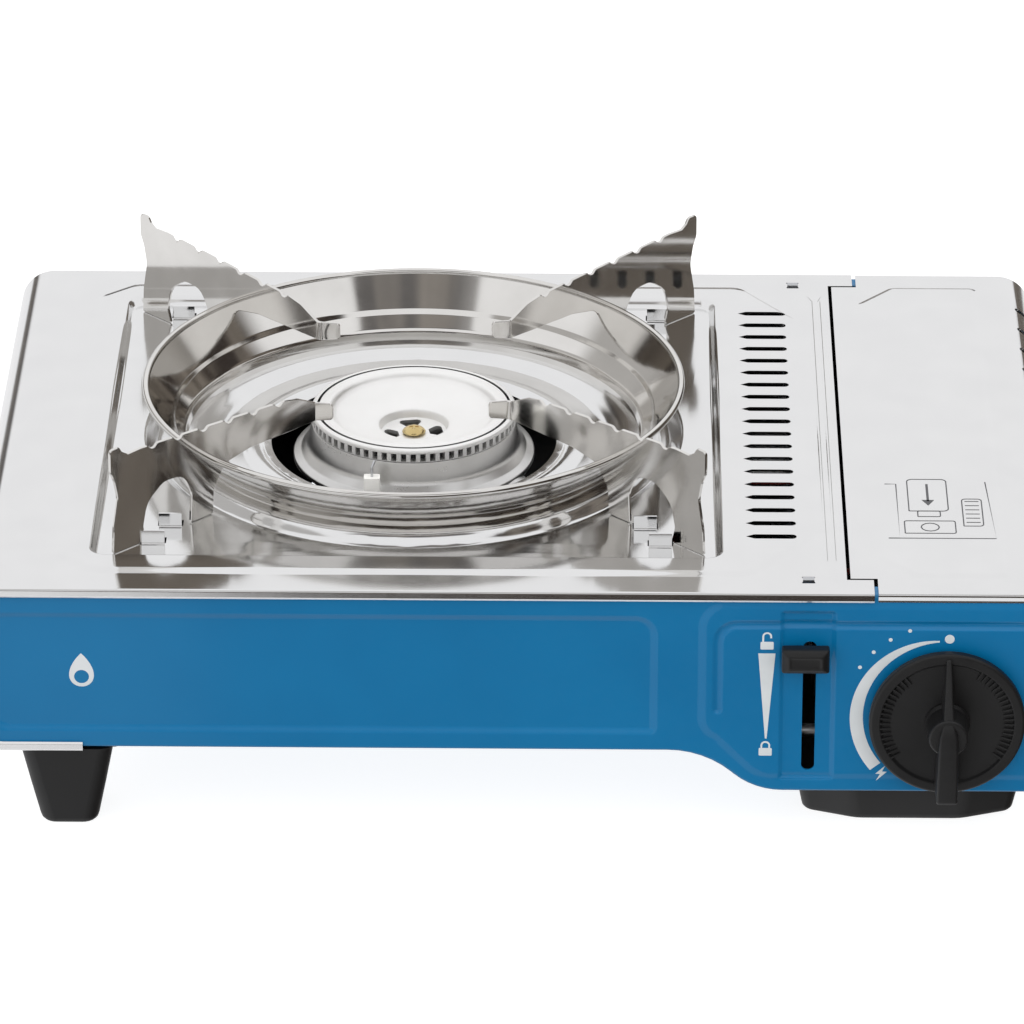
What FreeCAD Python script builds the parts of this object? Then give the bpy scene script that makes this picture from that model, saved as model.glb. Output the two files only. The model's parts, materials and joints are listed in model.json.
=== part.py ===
"""Single-burner cartridge camping stove, as an assembly of separate pieces, in millimetres.

Row frame: +X to the right end (cartridge side), +Y to the back, +Z up. The origin is on the table, under the
middle of the overall box, so the burner stands left of it. Each function makes one piece or one small group,
and the table at the end gives every piece its node name.
"""

import FreeCAD, Part
import math
import os
from FreeCAD import Vector

# ---- driving dimensions --------------------------------------------------------------------------------
WIDTH = 386.0          # left end of the top plate's wrap to the right end of the cartridge lid
PLATE_TOP = 95.0       # top plate's border above the table
PLATE_DEPTH = 274.0    # front lip to rear lip
KNOB_REACH = 19.0      # knob's grip in front of the lip
SHEET = 0.8            # pressed steel thickness
LIP = 3.6              # turned-down edge of the top plate and lid
CLEAR = 0.4            # gap between a shell and the cover that laps it

LEFT = -WIDTH / 2
RIGHT = WIDTH / 2
REAR = (PLATE_DEPTH + KNOB_REACH) / 2
FRONT = REAR - PLATE_DEPTH
MID_Y = (FRONT + REAR) / 2
PANEL_Y = FRONT + SHEET + CLEAR          # outer face of the blue front panel
REAR_PANEL_Y = REAR - SHEET - CLEAR
PLATE_UNDER = PLATE_TOP - SHEET

# body shell
WRAP_R = 13.0          # outer bend of the top plate and lid at the ends
LEFT_FLOOR = 32.4      # underside of the shallow left part
RIGHT_FLOOR = 16.7     # underside of the deep cartridge part
SHELL_LEFT = LEFT + SHEET + CLEAR
SHELL_RIGHT = RIGHT - SHEET - CLEAR
SHELL_TOP = PLATE_UNDER - 0.3
WRAP_UNDER = 31.2      # underside of the top plate's wrap at the left end
WRAP_END = -152.2      # where the wrap stops under the body

# top plate pressings
BURNER_X, BURNER_Y = -39.0, MID_Y
PLATEAU_RISE = 1.2
RECESS_DROP = 2.0      # recess floor below the border
RECESS_HALF = 112.0
RECESS_R = 6.0
RECESS_Z = PLATE_TOP - RECESS_DROP
DISH_R = 98.7
DISH_HOLE_R = 52.1
DISH_FLOOR = PLATE_TOP - 6.2
PLATE_RIGHT = 115.4    # edge beside the lid
EAR_RIGHT = 124.7      # the two ears that run past it
EAR_DEPTH = 11.2
VENT_COUNT = 19
VENT_PITCH = 10.63
VENT_X0, VENT_X1 = 80.7, 98.6
VENT_W = 3.4
TAB_X = 102.0
TAB_INSET = 10.9       # partition tabs, from the lips

# cartridge lid and its hinge
LID_LEFT = PLATE_RIGHT + 1.3
HINGE_X, HINGE_Z = 189.4, 26.0
HINGE_PIN_R = 1.25
KNUCKLE_R = 2.6
LID_WALL_END = 29.6    # lid's side wall stops here except at its knuckles
LID_VENT_COUNT = 12
LID_VENT_PITCH = 18.0

# pan support
RING_TOP_R, RING_TOP_Z = 98.7, PLATE_TOP + 19.0
RING_CREASE_R, RING_CREASE_Z = 87.2, PLATE_TOP + 5.2
RING_BOTTOM_R, RING_BOTTOM_Z = 82.2, PLATE_TOP - 4.2
ARM_T = 1.2
ARM_OUT, ARM_IN = 147.4, 49.5

# burner
CAP_R = 37.5
CAP_TOP = PLATE_TOP + 6.9
PORT_COUNT = 66
MIX_Z = 70.0           # axis of the mixing tube
MIX_ANGLE = -33.0
MIX_LENGTH = 76.0
MIX_R = 10.5
HORN_START, HORN_LENGTH, HORN_R = 26.0, 32.0, 19.0

# controls
KNOB_X, KNOB_Z = 150.9, 47.0
KNOB_R = 27.3
KNOB_TRAVEL = 2.5
SPINDLE_END = 10.0     # spindle's plain end in front of the lip
SPINDLE_R = 3.0
RUNNING = 0.08         # radial play of each pin or shaft in its hole
SLOT_X = 102.65
SLOT_W = 4.5
SLOT_Z0, SLOT_Z1 = 26.0, 75.5
LEVER_PIVOT_Y, LEVER_PIVOT_Z = -50.0, 53.0
BUTTON_Y, BUTTON_Z = -132.3, 71.5
LEVER_SWING = 26.0
CARRIAGE_TRAVEL = 9.0
DRIVE_ARM = CARRIAGE_TRAVEL / math.radians(LEVER_SWING)

# cartridge bay
CART_X, CART_Z = 153.0, 55.5
CART_R = 34.0
CART_FRONT, CART_REAR = -78.0, 113.0
BAY_FLOOR = RIGHT_FLOOR + SHEET
PARTITION_X = 97.5

X, Y, Z = Vector(1, 0, 0), Vector(0, 1, 0), Vector(0, 0, 1)


# ---- small tools ---------------------------------------------------------------------------------------
def box(x0, x1, y0, y1, z0, z1):
    return Part.makeBox(x1 - x0, y1 - y0, z1 - z0, Vector(x0, y0, z0))


def cyl(r, height, base, axis=Z):
    return Part.makeCylinder(r, height, Vector(*base), axis)


def tube(r_out, r_in, height, base, axis=Z):
    return cyl(r_out, height, base, axis).cut(cyl(r_in, height, base, axis))


def fuse(first, *others):
    whole = first.fuse(list(others)) if others else first
    return whole.removeSplitter()


def cut(shape, *tools):
    return shape.cut(list(tools))


def rounded(points, plane="xy", level=0.0):
    """Closed wire through (a, b, radius) corners, each rounded by an arc, in a plane at the given level."""

    def place(a, b):
        return Vector(a, b, level) if plane == "xy" else Vector(a, level, b)

    corners = []
    count = len(points)
    for i, (a, b, radius) in enumerate(points):
        here = Vector(a, b, 0)
        back = (Vector(*points[i - 1][:2], 0) - here).normalize()
        ahead = (Vector(*points[(i + 1) % count][:2], 0) - here).normalize()
        if radius <= 0:
            corners.append((here, None, here))
            continue
        half = back.getAngle(ahead) / 2
        reach = radius / math.tan(half)
        centre = here + (back + ahead).normalize() * (radius / math.sin(half))
        middle = centre + (here - centre).normalize() * radius
        corners.append((here + back * reach, middle, here + ahead * reach))
    edges = []
    for i, (start, middle, end) in enumerate(corners):
        if middle is not None:
            arc = Part.Arc(place(start.x, start.y), place(middle.x, middle.y), place(end.x, end.y))
            edges.append(arc.toShape())
        following = corners[(i + 1) % count][0]
        if (following - end).Length > 1e-6:
            edges.append(Part.LineSegment(place(end.x, end.y), place(following.x, following.y)).toShape())
    return Part.Wire(edges)


def prism(points, z0, z1):
    """Upright prism on a rounded outline."""
    return Part.Face(rounded(points, "xy", z0)).extrude(Vector(0, 0, z1 - z0))


def profile(points, y0, y1):
    """Bar along Y whose section is a rounded outline in X and Z."""
    return Part.Face(rounded(points, "xz", y0)).extrude(Vector(0, y1 - y0, 0))


def rect(x0, x1, y0, y1, radius):
    return [(x0, y0, radius), (x1, y0, radius), (x1, y1, radius), (x0, y1, radius)]


def inset(points, distance):
    """Outline moved inward by distance, for outlines that run anticlockwise."""
    moved = []
    count = len(points)
    for i, (a, b, radius) in enumerate(points):
        before, after = points[i - 1], points[(i + 1) % count]
        d1 = Vector(a - before[0], b - before[1], 0).normalize()
        d2 = Vector(after[0] - a, after[1] - b, 0).normalize()
        n1, n2 = Vector(-d1.y, d1.x, 0), Vector(-d2.y, d2.x, 0)
        shift = (n1 + n2) * (distance / (1 + n1.dot(n2)))
        turn_left = d1.x * d2.y - d1.y * d2.x > 0
        grown = radius - distance if turn_left else radius + distance
        moved.append((a + shift.x, b + shift.y, max(grown, 0.0) if radius > 0 else 0.0))
    return moved


def revolve(points, centre_x=0.0, centre_y=0.0):
    """Solid of revolution about a vertical axis, from (radius, z) points."""
    ring = [Vector(centre_x + r, centre_y, z) for r, z in points]
    face = Part.Face(Part.makePolygon(ring + [ring[0]]))
    return face.revolve(Vector(centre_x, centre_y, 0), Z, 360)


def turned(points, centre_x, centre_z):
    """Solid of revolution about an axis along Y, from (radius, y) points."""
    ring = [Vector(centre_x + r, y, centre_z) for r, y in points]
    face = Part.Face(Part.makePolygon(ring + [ring[0]]))
    return face.revolve(Vector(centre_x, 0, centre_z), Y, 360)


def bent_tube(points, radius, bend):
    """Round bar along straight runs joined by tangent arcs of one bend radius."""
    edges = []
    start = points[0]
    for i in range(1, len(points) - 1):
        here = points[i]
        back = (points[i - 1] - here).normalize()
        ahead = (points[i + 1] - here).normalize()
        half = back.getAngle(ahead) / 2
        reach = bend / math.tan(half)
        middle = here + (back + ahead).normalize() * (bend / math.sin(half) - bend)
        edges.append(Part.LineSegment(start, here + back * reach).toShape())
        edges.append(Part.Arc(here + back * reach, middle, here + ahead * reach).toShape())
        start = here + ahead * reach
    edges.append(Part.LineSegment(start, points[-1]).toShape())
    path = Part.Wire(edges)
    section = Part.Wire([Part.makeCircle(radius, points[0], points[1] - points[0])])
    return path.makePipeShell([section], True, False)


def polar(radius, degrees, z=0.0):
    angle = math.radians(degrees)
    return Vector(BURNER_X + radius * math.cos(angle), BURNER_Y + radius * math.sin(angle), z)


# ---- body shell ----------------------------------------------------------------------------------------
SHELL_OUTLINE = [
    (SHELL_LEFT, LEFT_FLOOR, 12.0),
    (66.0, LEFT_FLOOR, 34.0),
    (84.0, RIGHT_FLOOR, 26.0),
    (SHELL_RIGHT, RIGHT_FLOOR, 8.0),
    (SHELL_RIGHT, SHELL_TOP, 12.0),
    (SHELL_LEFT, SHELL_TOP, 12.0),
]
FOOT_X, FOOT_FRONT_Y, FOOT_REAR_Y = -156.3, -111.0, 127.0
WIDE_FOOT_X, WIDE_FRONT_Y, WIDE_REAR_Y = 139.0, -107.0, 123.0
BRACKET_X0, BRACKET_X1 = BURNER_X - 12.0, BURNER_X + 12.0
BRACKET_SCREWS = [(BURNER_X, BURNER_Y + 40.0), (BURNER_X, BURNER_Y - 40.0)]
LID_KNUCKLES = [(-90.0, -60.0), (79.0, 109.0)]
SHELL_KNUCKLES = [(-110.0, -90.4), (-59.6, -40.0), (59.0, 78.6), (109.4, 129.0)]


def base_shell():
    shell = profile(SHELL_OUTLINE, PANEL_Y, REAR_PANEL_Y)
    inside = profile(inset(SHELL_OUTLINE, SHEET), PANEL_Y + SHEET, REAR_PANEL_Y - SHEET)
    y0, y1 = PANEL_Y + SHEET, REAR_PANEL_Y - SHEET
    top_mouth = box(SHELL_LEFT + 13, RIGHT, y0 + 7, y1 - 7, SHELL_TOP - 3, SHELL_TOP + 3)
    right_mouth = box(SHELL_RIGHT - 12, RIGHT, y0, y1, 21.3, SHELL_TOP + 3)
    shell = cut(shell, inside, top_mouth, right_mouth)
    knuckles = []
    for k0, k1 in SHELL_KNUCKLES:
        ring = tube(KNUCKLE_R, HINGE_PIN_R + 0.05, k1 - k0, (HINGE_X, k0, HINGE_Z), Y)
        leg = box(HINGE_X - 1.8, HINGE_X + 0.8, k0, k1, 19.4, HINGE_Z - 1.6)
        leg = leg.cut(cyl(HINGE_PIN_R + 0.05, k1 - k0, (HINGE_X, k0, HINGE_Z), Y))
        knuckles += [ring, leg]
    shell = fuse(shell, *knuckles)
    slot = box(SLOT_X - SLOT_W / 2, SLOT_X + SLOT_W / 2, PANEL_Y - 1, y0 + 1, SLOT_Z0, SLOT_Z1)
    holes = [slot, cyl(5.0, 4, (KNOB_X, PANEL_Y - 1, KNOB_Z), Y)]
    for x, y in BRACKET_SCREWS:
        holes.append(cyl(1.7, 4, (x, y, LEFT_FLOOR - 1)))
    for x, y in FOOT_SCREWS:
        holes.append(cyl(1.7, 4, (x, y, floor_under(x) - 1)))
    for i in range(6):
        x = BURNER_X - 75 + 30 * i
        holes.append(box(x - 2, x + 2, BURNER_Y + 60, BURNER_Y + 100, LEFT_FLOOR - 1, LEFT_FLOOR + 2))
    return cut(shell, *holes)


# ---- top plate -----------------------------------------------------------------------------------------
def pressing(sheet, outline, old, new):
    """Moves the part of a sheet inside an outline from height old to new (heights of its upper face)."""
    inner = inset(outline, SHEET)
    low, high = min(old, new) - SHEET, max(old, new)
    wall = prism(outline, low, high).cut(prism(inner, low - 1, high + 1))
    floor = prism(inset(outline, SHEET * 0.5), new - SHEET, new)
    sheet = sheet.cut(prism(outline, min(old, new) - 5, max(old, new) + 5))
    return fuse(sheet, wall, floor)


PLATEAU = [
    (-149.0, MID_Y - 124.5, 8.0), (83.0, MID_Y - 124.5, 8.0), (104.6, MID_Y - 94.0, 8.0),
    (104.6, MID_Y + 94.0, 8.0), (83.0, MID_Y + 124.5, 8.0), (-149.0, MID_Y + 124.5, 8.0),
    (-163.0, MID_Y + 112.0, 8.0), (-163.0, MID_Y - 112.0, 8.0),
]


def lugs():
    """Upright tongues that keep each pan-support leg in its place: one beside it, one in its window."""
    made = []
    for sx in (-1, 1):
        for sy in (-1, 1):
            for across, away in ((89.5, 96.5), (84.2, 82.6)):
                x, y = BURNER_X + sx * across, BURNER_Y + sy * away
                made.append(box(x - 4.1, x + 4.1, y - 0.4, y + 0.4, RECESS_Z - 0.4, RECESS_Z + 4.6))
    return made


def top_plate():
    outer = [
        (PLATE_RIGHT, PLATE_TOP, 0), (LEFT, PLATE_TOP, WRAP_R), (LEFT, WRAP_UNDER, WRAP_R),
        (WRAP_END, WRAP_UNDER, 0), (WRAP_END, WRAP_UNDER + SHEET, 0),
        (LEFT + SHEET, WRAP_UNDER + SHEET, WRAP_R - SHEET), (LEFT + SHEET, PLATE_UNDER, WRAP_R - SHEET),
        (PLATE_RIGHT, PLATE_UNDER, 0),
    ]
    lip = [
        (EAR_RIGHT, PLATE_TOP, 0), (LEFT, PLATE_TOP, WRAP_R), (LEFT, WRAP_UNDER, WRAP_R),
        (WRAP_END, WRAP_UNDER, 0), (WRAP_END, WRAP_UNDER + LIP, 0),
        (LEFT + LIP, WRAP_UNDER + LIP, WRAP_R - LIP), (LEFT + LIP, PLATE_TOP - LIP, WRAP_R - LIP),
        (EAR_RIGHT, PLATE_TOP - LIP, 0),
    ]
    plate = profile(outer, FRONT, REAR)
    ears = [
        box(PLATE_RIGHT - 1, EAR_RIGHT, FRONT, FRONT + EAR_DEPTH, PLATE_UNDER, PLATE_TOP),
        box(PLATE_RIGHT - 1, EAR_RIGHT, REAR - EAR_DEPTH, REAR, PLATE_UNDER, PLATE_TOP),
    ]
    lips = [profile(lip, FRONT, FRONT + SHEET), profile(lip, REAR - SHEET, REAR)]
    plate = fuse(plate, *ears, *lips)
    plate = pressing(plate, PLATEAU, PLATE_TOP, PLATE_TOP + PLATEAU_RISE)
    recess = rect(BURNER_X - RECESS_HALF, BURNER_X + RECESS_HALF, BURNER_Y - RECESS_HALF + 1,
                  BURNER_Y + RECESS_HALF, RECESS_R)
    plate = pressing(plate, recess, PLATE_TOP + PLATEAU_RISE, RECESS_Z)
    plate = plate.cut(cyl(DISH_R - 0.3, 20, (BURNER_X, BURNER_Y, RECESS_Z - 10)))
    upper = [(DISH_R, RECESS_Z), (93.0, RECESS_Z - 2.6), (76.0, DISH_FLOOR + 1.2), (73.0, DISH_FLOOR),
             (DISH_HOLE_R, DISH_FLOOR)]
    lower = [(r, z - SHEET) for r, z in reversed(upper)]
    plate = fuse(plate, revolve(upper + lower, BURNER_X, BURNER_Y), *lugs())
    holes = []
    for i in range(VENT_COUNT):
        y = MID_Y + 2.5 + VENT_PITCH * (i - (VENT_COUNT - 1) / 2)
        holes.append(prism(rect(VENT_X0, VENT_X1, y - VENT_W / 2, y + VENT_W / 2, VENT_W / 2 - 0.05),
                           PLATE_TOP - 3, PLATE_TOP + 4))
    for y in (FRONT + TAB_INSET, REAR - TAB_INSET):
        holes.append(box(TAB_X - 2.3, TAB_X + 2.3, y - 1.7, y + 1.7, PLATE_TOP - 3, PLATE_TOP + 3))
    return cut(plate, *holes)


# ---- cartridge lid -------------------------------------------------------------------------------------
LID_PLATEAU = [
    (139.0, MID_Y - 124.5, 3.0), (172.5, MID_Y - 124.5, 3.0), (172.5, MID_Y + 124.5, 3.0),
    (139.0, MID_Y + 124.5, 3.0), (125.5, MID_Y + 109.0, 3.0), (125.5, MID_Y - 109.0, 3.0),
]


def cartridge_lid():
    section = [
        (LID_LEFT, PLATE_UNDER, 0), (RIGHT - SHEET, PLATE_UNDER, WRAP_R - SHEET),
        (RIGHT - SHEET, LID_WALL_END, 0), (RIGHT, LID_WALL_END, 0), (RIGHT, PLATE_TOP, WRAP_R),
        (LID_LEFT, PLATE_TOP, 0),
    ]
    skirt = [
        (EAR_RIGHT + 1.4, PLATE_TOP - LIP, 0), (RIGHT - LIP, PLATE_TOP - LIP, WRAP_R - LIP),
        (RIGHT - LIP, LID_WALL_END + 4, 0), (RIGHT, LID_WALL_END + 4, 0), (RIGHT, PLATE_TOP, WRAP_R),
        (EAR_RIGHT + 1.4, PLATE_TOP, 0),
    ]
    lid = profile(section, FRONT, REAR)
    notch = EAR_DEPTH + 1.0
    notches = [
        box(LID_LEFT - 1, EAR_RIGHT + 1.4, FRONT - 1, FRONT + notch, PLATE_UNDER - 2, PLATE_TOP + 2),
        box(LID_LEFT - 1, EAR_RIGHT + 1.4, REAR - notch, REAR + 1, PLATE_UNDER - 2, PLATE_TOP + 2),
    ]
    lid = cut(lid, *notches)
    lid = fuse(lid, profile(skirt, FRONT, FRONT + SHEET), profile(skirt, REAR - SHEET, REAR))
    lid = pressing(lid, LID_PLATEAU, PLATE_TOP, PLATE_TOP + PLATEAU_RISE)
    knuckles = []
    for k0, k1 in LID_KNUCKLES:
        bore = cyl(HINGE_PIN_R + RUNNING, k1 - k0, (HINGE_X, k0, HINGE_Z), Y)
        ring = cyl(KNUCKLE_R, k1 - k0, (HINGE_X, k0, HINGE_Z), Y)
        strap = box(HINGE_X + 1.6, RIGHT, k0, k1, HINGE_Z - 0.5, HINGE_Z + 1.6)
        rise = box(RIGHT - SHEET, RIGHT, k0, k1, HINGE_Z - 0.5, LID_WALL_END + 1)
        knuckles.append(ring.fuse([strap, rise]).cut(bore))
    lid = fuse(lid, *knuckles)
    vents = []
    for i in range(LID_VENT_COUNT):
        y = MID_Y + 9.3 + LID_VENT_PITCH * (i - (LID_VENT_COUNT - 1) / 2)
        vents.append(box(186.0, RIGHT + 1, y - 1.6, y + 1.6, 66.0, PLATE_TOP + 1))
    return cut(lid, *vents)


def lid_hinge_pin():
    return cyl(HINGE_PIN_R, 243.0, (HINGE_X, -112.0, HINGE_Z), Y)


def lid_catch():
    """Spring-steel clip inside the front panel that holds the closed lid's skirt."""
    y = PANEL_Y + SHEET
    clip = box(168.0, 178.0, y, y + 0.6, 72.0, 92.0)
    foot = box(168.0, 178.0, y, y + 5.0, 72.0, 72.6)
    bump = turned([(0.0, y + 0.5), (2.0, y + 0.5), (1.6, y + 1.5), (0.0, y + 1.9)], 173.0, 86.0)
    return fuse(clip, foot, bump)


# ---- pan support ---------------------------------------------------------------------------------------
def pan_ring():
    bead = 1.0
    outer = [
        (RING_TOP_R, RING_TOP_Z), (RING_TOP_R - bead, RING_TOP_Z - bead * 1.6),
        (RING_CREASE_R + 1.0, RING_CREASE_Z), (RING_BOTTOM_R + 1.0, RING_BOTTOM_Z),
    ]
    inner = [(RING_BOTTOM_R, RING_BOTTOM_Z), (RING_CREASE_R, RING_CREASE_Z), (RING_TOP_R - 2.0, RING_TOP_Z)]
    ring = revolve(outer + inner, BURNER_X, BURNER_Y)
    slots = []
    half = ARM_T / 2 + 0.1
    for degrees in (45, 135, 225, 315):
        slot = box(RING_BOTTOM_R - 2, RING_TOP_R + 3, -half, half, PLATE_TOP + 8, RING_TOP_Z + 1)
        slots.append(place_arm(slot, degrees))
    return cut(ring, *slots)


def place_arm(shape, degrees):
    """Turns a shape drawn along +X about the burner's axis and moves it there."""
    made = shape.copy()
    made.rotate(Vector(0, 0, 0), Z, degrees)
    made.translate(Vector(BURNER_X, BURNER_Y, 0))
    return made


def pan_arm(degrees, bend):
    """One radial leg: outer post, inner post, arched window between them, and a stepped, rising top edge.

    Drawn in the plane of +X and Z and turned to its place; bend is the side that the inner tip folds to."""
    base = RECESS_Z + 0.3
    top = PLATE_TOP
    outline = [
        (131.5, base, 1.0), (146.8, base, 1.0), (144.6, top + 20.0, 8.0), (ARM_OUT, top + 28.0, 3.0),
        (ARM_OUT, top + 38.0, 1.0), (142.2, top + 37.2, 0.8), (139.8, top + 34.6, 1.5),
        (61.0, top + 30.2, 12.0),
        (ARM_IN, top + 25.0, 0.8), (ARM_IN, top + 18.6, 0.8), (95.4, top + 18.6, 1.5), (95.4, top + 8.4, 0.5),
        (100.2, top + 8.4, 0.5), (100.2, base, 0.5), (110.2, base, 0.5), (110.2, top + 11.0, 3.0),
        (116.5, top + 17.8, 4.0), (130.0, top + 17.8, 4.0), (134.0, top + 11.0, 2.0),
    ]
    face = Part.Face(rounded(outline, "xz", -ARM_T / 2))
    arm = face.extrude(Vector(0, ARM_T, 0))
    notches = []
    for i in range(9):
        u = 59.0 + 9.4 * i
        z = top + 30.1 + (u - 61.0) * (4.4 / 78.8)
        notches.append(cyl(1.5, 4, (u, -2, z + 0.9), Y))
    arm = arm.cut(notches)
    fold = box(ARM_IN - 0.4, ARM_IN + ARM_T - 0.4, 0, 7.0, top + 18.8, top + 24.9)
    fold.rotate(Vector(ARM_IN, 0, 0), Z, 45)
    if bend < 0:
        fold = fold.mirror(Vector(0, 0, 0), Y)
    return place_arm(fuse(arm, fold), degrees)


# ---- burner --------------------------------------------------------------------------------------------
def bowl_inside():
    """The space inside the bowl, down to its floor."""
    top = PLATE_TOP
    return revolve([
        (0, top + 2), (33.0, top + 2), (33.0, top - 8), (28, top - 22), (17, top - 30.5), (0, top - 30.5),
    ], BURNER_X, BURNER_Y)


def burner_bowl():
    """Cast mixing bowl with its side tube that leads to the jet."""
    top = PLATE_TOP
    bowl = revolve([
        (0, top - 34), (20, top - 34), (34, top - 24), (43, top - 12.5), (44, top - 11), (43.2, top - 9.2),
        (39.5, top - 7.0), (37.6, top - 1.0), (37.4, top + 1.8), (33.0, top + 1.8), (33.0, top - 8),
        (28, top - 22), (17, top - 30.5), (0, top - 30.5),
    ], BURNER_X, BURNER_Y)
    start = polar(22.0, MIX_ANGLE, MIX_Z)
    direction = polar(1.0, MIX_ANGLE) - polar(0.0, MIX_ANGLE)
    barrel = Part.makeCylinder(MIX_R, MIX_LENGTH - 22, start, direction)
    horn = Part.makeCone(HORN_R, MIX_R, HORN_LENGTH, polar(HORN_START, MIX_ANGLE, MIX_Z), direction)
    throat = Part.makeCone(HORN_R - 2.2, MIX_R - 2.2, HORN_LENGTH, polar(HORN_START, MIX_ANGLE, MIX_Z),
                           direction)
    mouth = Part.makeCone(MIX_R, MIX_R + 2.5, 8, polar(MIX_LENGTH - 8, MIX_ANGLE, MIX_Z), direction)
    bore = Part.makeCylinder(MIX_R - 2.2, MIX_LENGTH, start, direction)
    flare = Part.makeCone(MIX_R - 2.2, MIX_R + 1.0, 10, polar(MIX_LENGTH - 9.9, MIX_ANGLE, MIX_Z), direction)
    post = cyl(5.5, 26, (BURNER_X, BURNER_Y, top - 33))
    horn = horn.cut(bowl_inside())
    whole = cut(fuse(bowl, barrel, horn, mouth), bore, flare, throat.cut(bowl_inside()))
    whole = fuse(whole, post)
    return whole.cut(cyl(1.6, 30, (BURNER_X, BURNER_Y, top - 24)))


def burner_cap():
    top = CAP_TOP
    cap = revolve([
        (2.2, PLATE_TOP - 3.6), (4.8, PLATE_TOP - 3.6), (11.8, PLATE_TOP - 3.2), (12.8, PLATE_TOP + 0.2),
        (30.2, top - 1.6), (31.0, top), (36.2, top), (CAP_R, top - 1.4), (CAP_R, PLATE_TOP + 2.0),
        (33.8, PLATE_TOP + 2.0), (33.8, top - 3.4), (14.6, PLATE_TOP - 2.6), (12.6, PLATE_TOP - 6.2),
        (2.2, PLATE_TOP - 6.8),
    ], BURNER_X, BURNER_Y)
    ports = []
    for i in range(PORT_COUNT):
        port = box(33.0, 39.0, -1.0, 1.0, PLATE_TOP + 1.9, PLATE_TOP + 5.0)
        ports.append(place_arm(port, i * 360.0 / PORT_COUNT))
    holes = []
    sector = [(6.0, -2.6, 1.0), (11.0, -5.6, 1.5), (11.0, 5.6, 1.5), (6.0, 2.6, 1.0)]
    for i in range(4):
        hole = prism(sector, top - 20, top + 5)
        holes.append(place_arm(hole, 10 + i * 90))
    return cut(cap, *ports, *holes)


def burner_screw():
    base = PLATE_TOP - 3.6
    dome = [(0, base), (4.3, base), (4.1, base + 1.3), (2.6, base + 2.4), (0, base + 2.7)]
    head = revolve(dome, BURNER_X, BURNER_Y)
    shank = cyl(1.55, 18, (BURNER_X, BURNER_Y, base - 17.5))
    cross = [box(BURNER_X - 2, BURNER_X + 2, BURNER_Y - 0.4, BURNER_Y + 0.4, base + 1.5, base + 4),
             box(BURNER_X - 0.4, BURNER_X + 0.4, BURNER_Y - 2, BURNER_Y + 2, base + 1.5, base + 4)]
    return cut(fuse(head, shank), *cross)


def burner_bracket():
    """Pressed bridge that carries the bowl above the floor."""
    y0, y1 = BURNER_Y - 46, BURNER_Y + 46
    seat = PLATE_TOP - 34
    floor = LEFT_FLOOR + SHEET
    deck = box(BRACKET_X0, BRACKET_X1, y0 + 12, y1 - 12, seat - 1.2, seat)
    parts = [deck]
    for side, edge in ((1, y0), (-1, y1)):
        foot = sorted((edge, edge + side * 13.2))
        leg = sorted((edge + side * 12, edge + side * 13.2))
        parts.append(box(BRACKET_X0, BRACKET_X1, foot[0], foot[1], floor, floor + 1.2))
        parts.append(box(BRACKET_X0, BRACKET_X1, leg[0], leg[1], floor, seat))
    holes = [cyl(1.7, 6, (x, y, floor - 2)) for x, y in BRACKET_SCREWS]
    return cut(fuse(*parts), *holes)


def screw_up(x, y, under, length, r=1.5, head_r=3.2, head_h=1.8):
    """Pan-head screw driven upward, its head below the height under."""
    return fuse(cyl(head_r, head_h, (x, y, under - head_h)), cyl(r, length, (x, y, under - 0.1)))


def bracket_screws():
    return Part.Compound([screw_up(x, y, LEFT_FLOOR, 5.0) for x, y in BRACKET_SCREWS])


# ---- ignition ------------------------------------------------------------------------------------------
ELECTRODE_X, ELECTRODE_Y = BURNER_X - 13.9, BURNER_Y - 44.6


def igniter_insulator():
    """Ceramic block that tapers upward, with a stem through its bracket."""
    seat = PLATE_TOP - 18
    x, y = ELECTRODE_X, ELECTRODE_Y
    wide = rounded(rect(x - 3.3, x + 3.3, y - 2.4, y + 2.4, 0.8), "xy", seat)
    narrow = rounded(rect(x - 2.9, x + 2.9, y - 2.1, y + 2.1, 0.7), "xy", PLATE_TOP)
    return fuse(cyl(1.9, 6, (x, y, PLATE_TOP - 22)), Part.makeLoft([wide, narrow], True, True))


def igniter_electrode():
    top = PLATE_TOP
    path = [Vector(ELECTRODE_X, ELECTRODE_Y, top), Vector(ELECTRODE_X, ELECTRODE_Y, top + 3.6),
            Vector(ELECTRODE_X + 0.8, ELECTRODE_Y + 3.6, top + 4.4)]
    return bent_tube(path, 0.5, 0.8)


def igniter_bracket():
    """Angle that holds the insulator beside the bowl, standing on the shell's floor."""
    x0, x1 = ELECTRODE_X - 6.2, ELECTRODE_X + 4.5
    y0, y1 = ELECTRODE_Y - 4.5, ELECTRODE_Y + 4.5
    seat = PLATE_TOP - 18
    floor = LEFT_FLOOR + SHEET
    plate = box(x0, x1, y0, y1, seat - 1.2, seat)
    leg = box(x0, x0 + 1.2, y0, y1, floor, seat)
    foot = box(x0 - 9, x0 + 1.2, y0, y1, floor, floor + 1.2)
    return cut(fuse(plate, leg, foot), cyl(2.0, 6, (ELECTRODE_X, ELECTRODE_Y, seat - 3)))


PIEZO_X, PIEZO_Y0, PIEZO_Z = 124.0, -112.0, 78.0
LEAD_Y = -75.0         # where the lead crosses the partition


def piezo_igniter():
    y0 = PIEZO_Y0
    section = [(0, y0), (4.6, y0), (4.6, y0 + 24), (3.4, y0 + 25), (3.4, y0 + 30), (0, y0 + 30)]
    return turned(section, PIEZO_X, PIEZO_Z)


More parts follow.
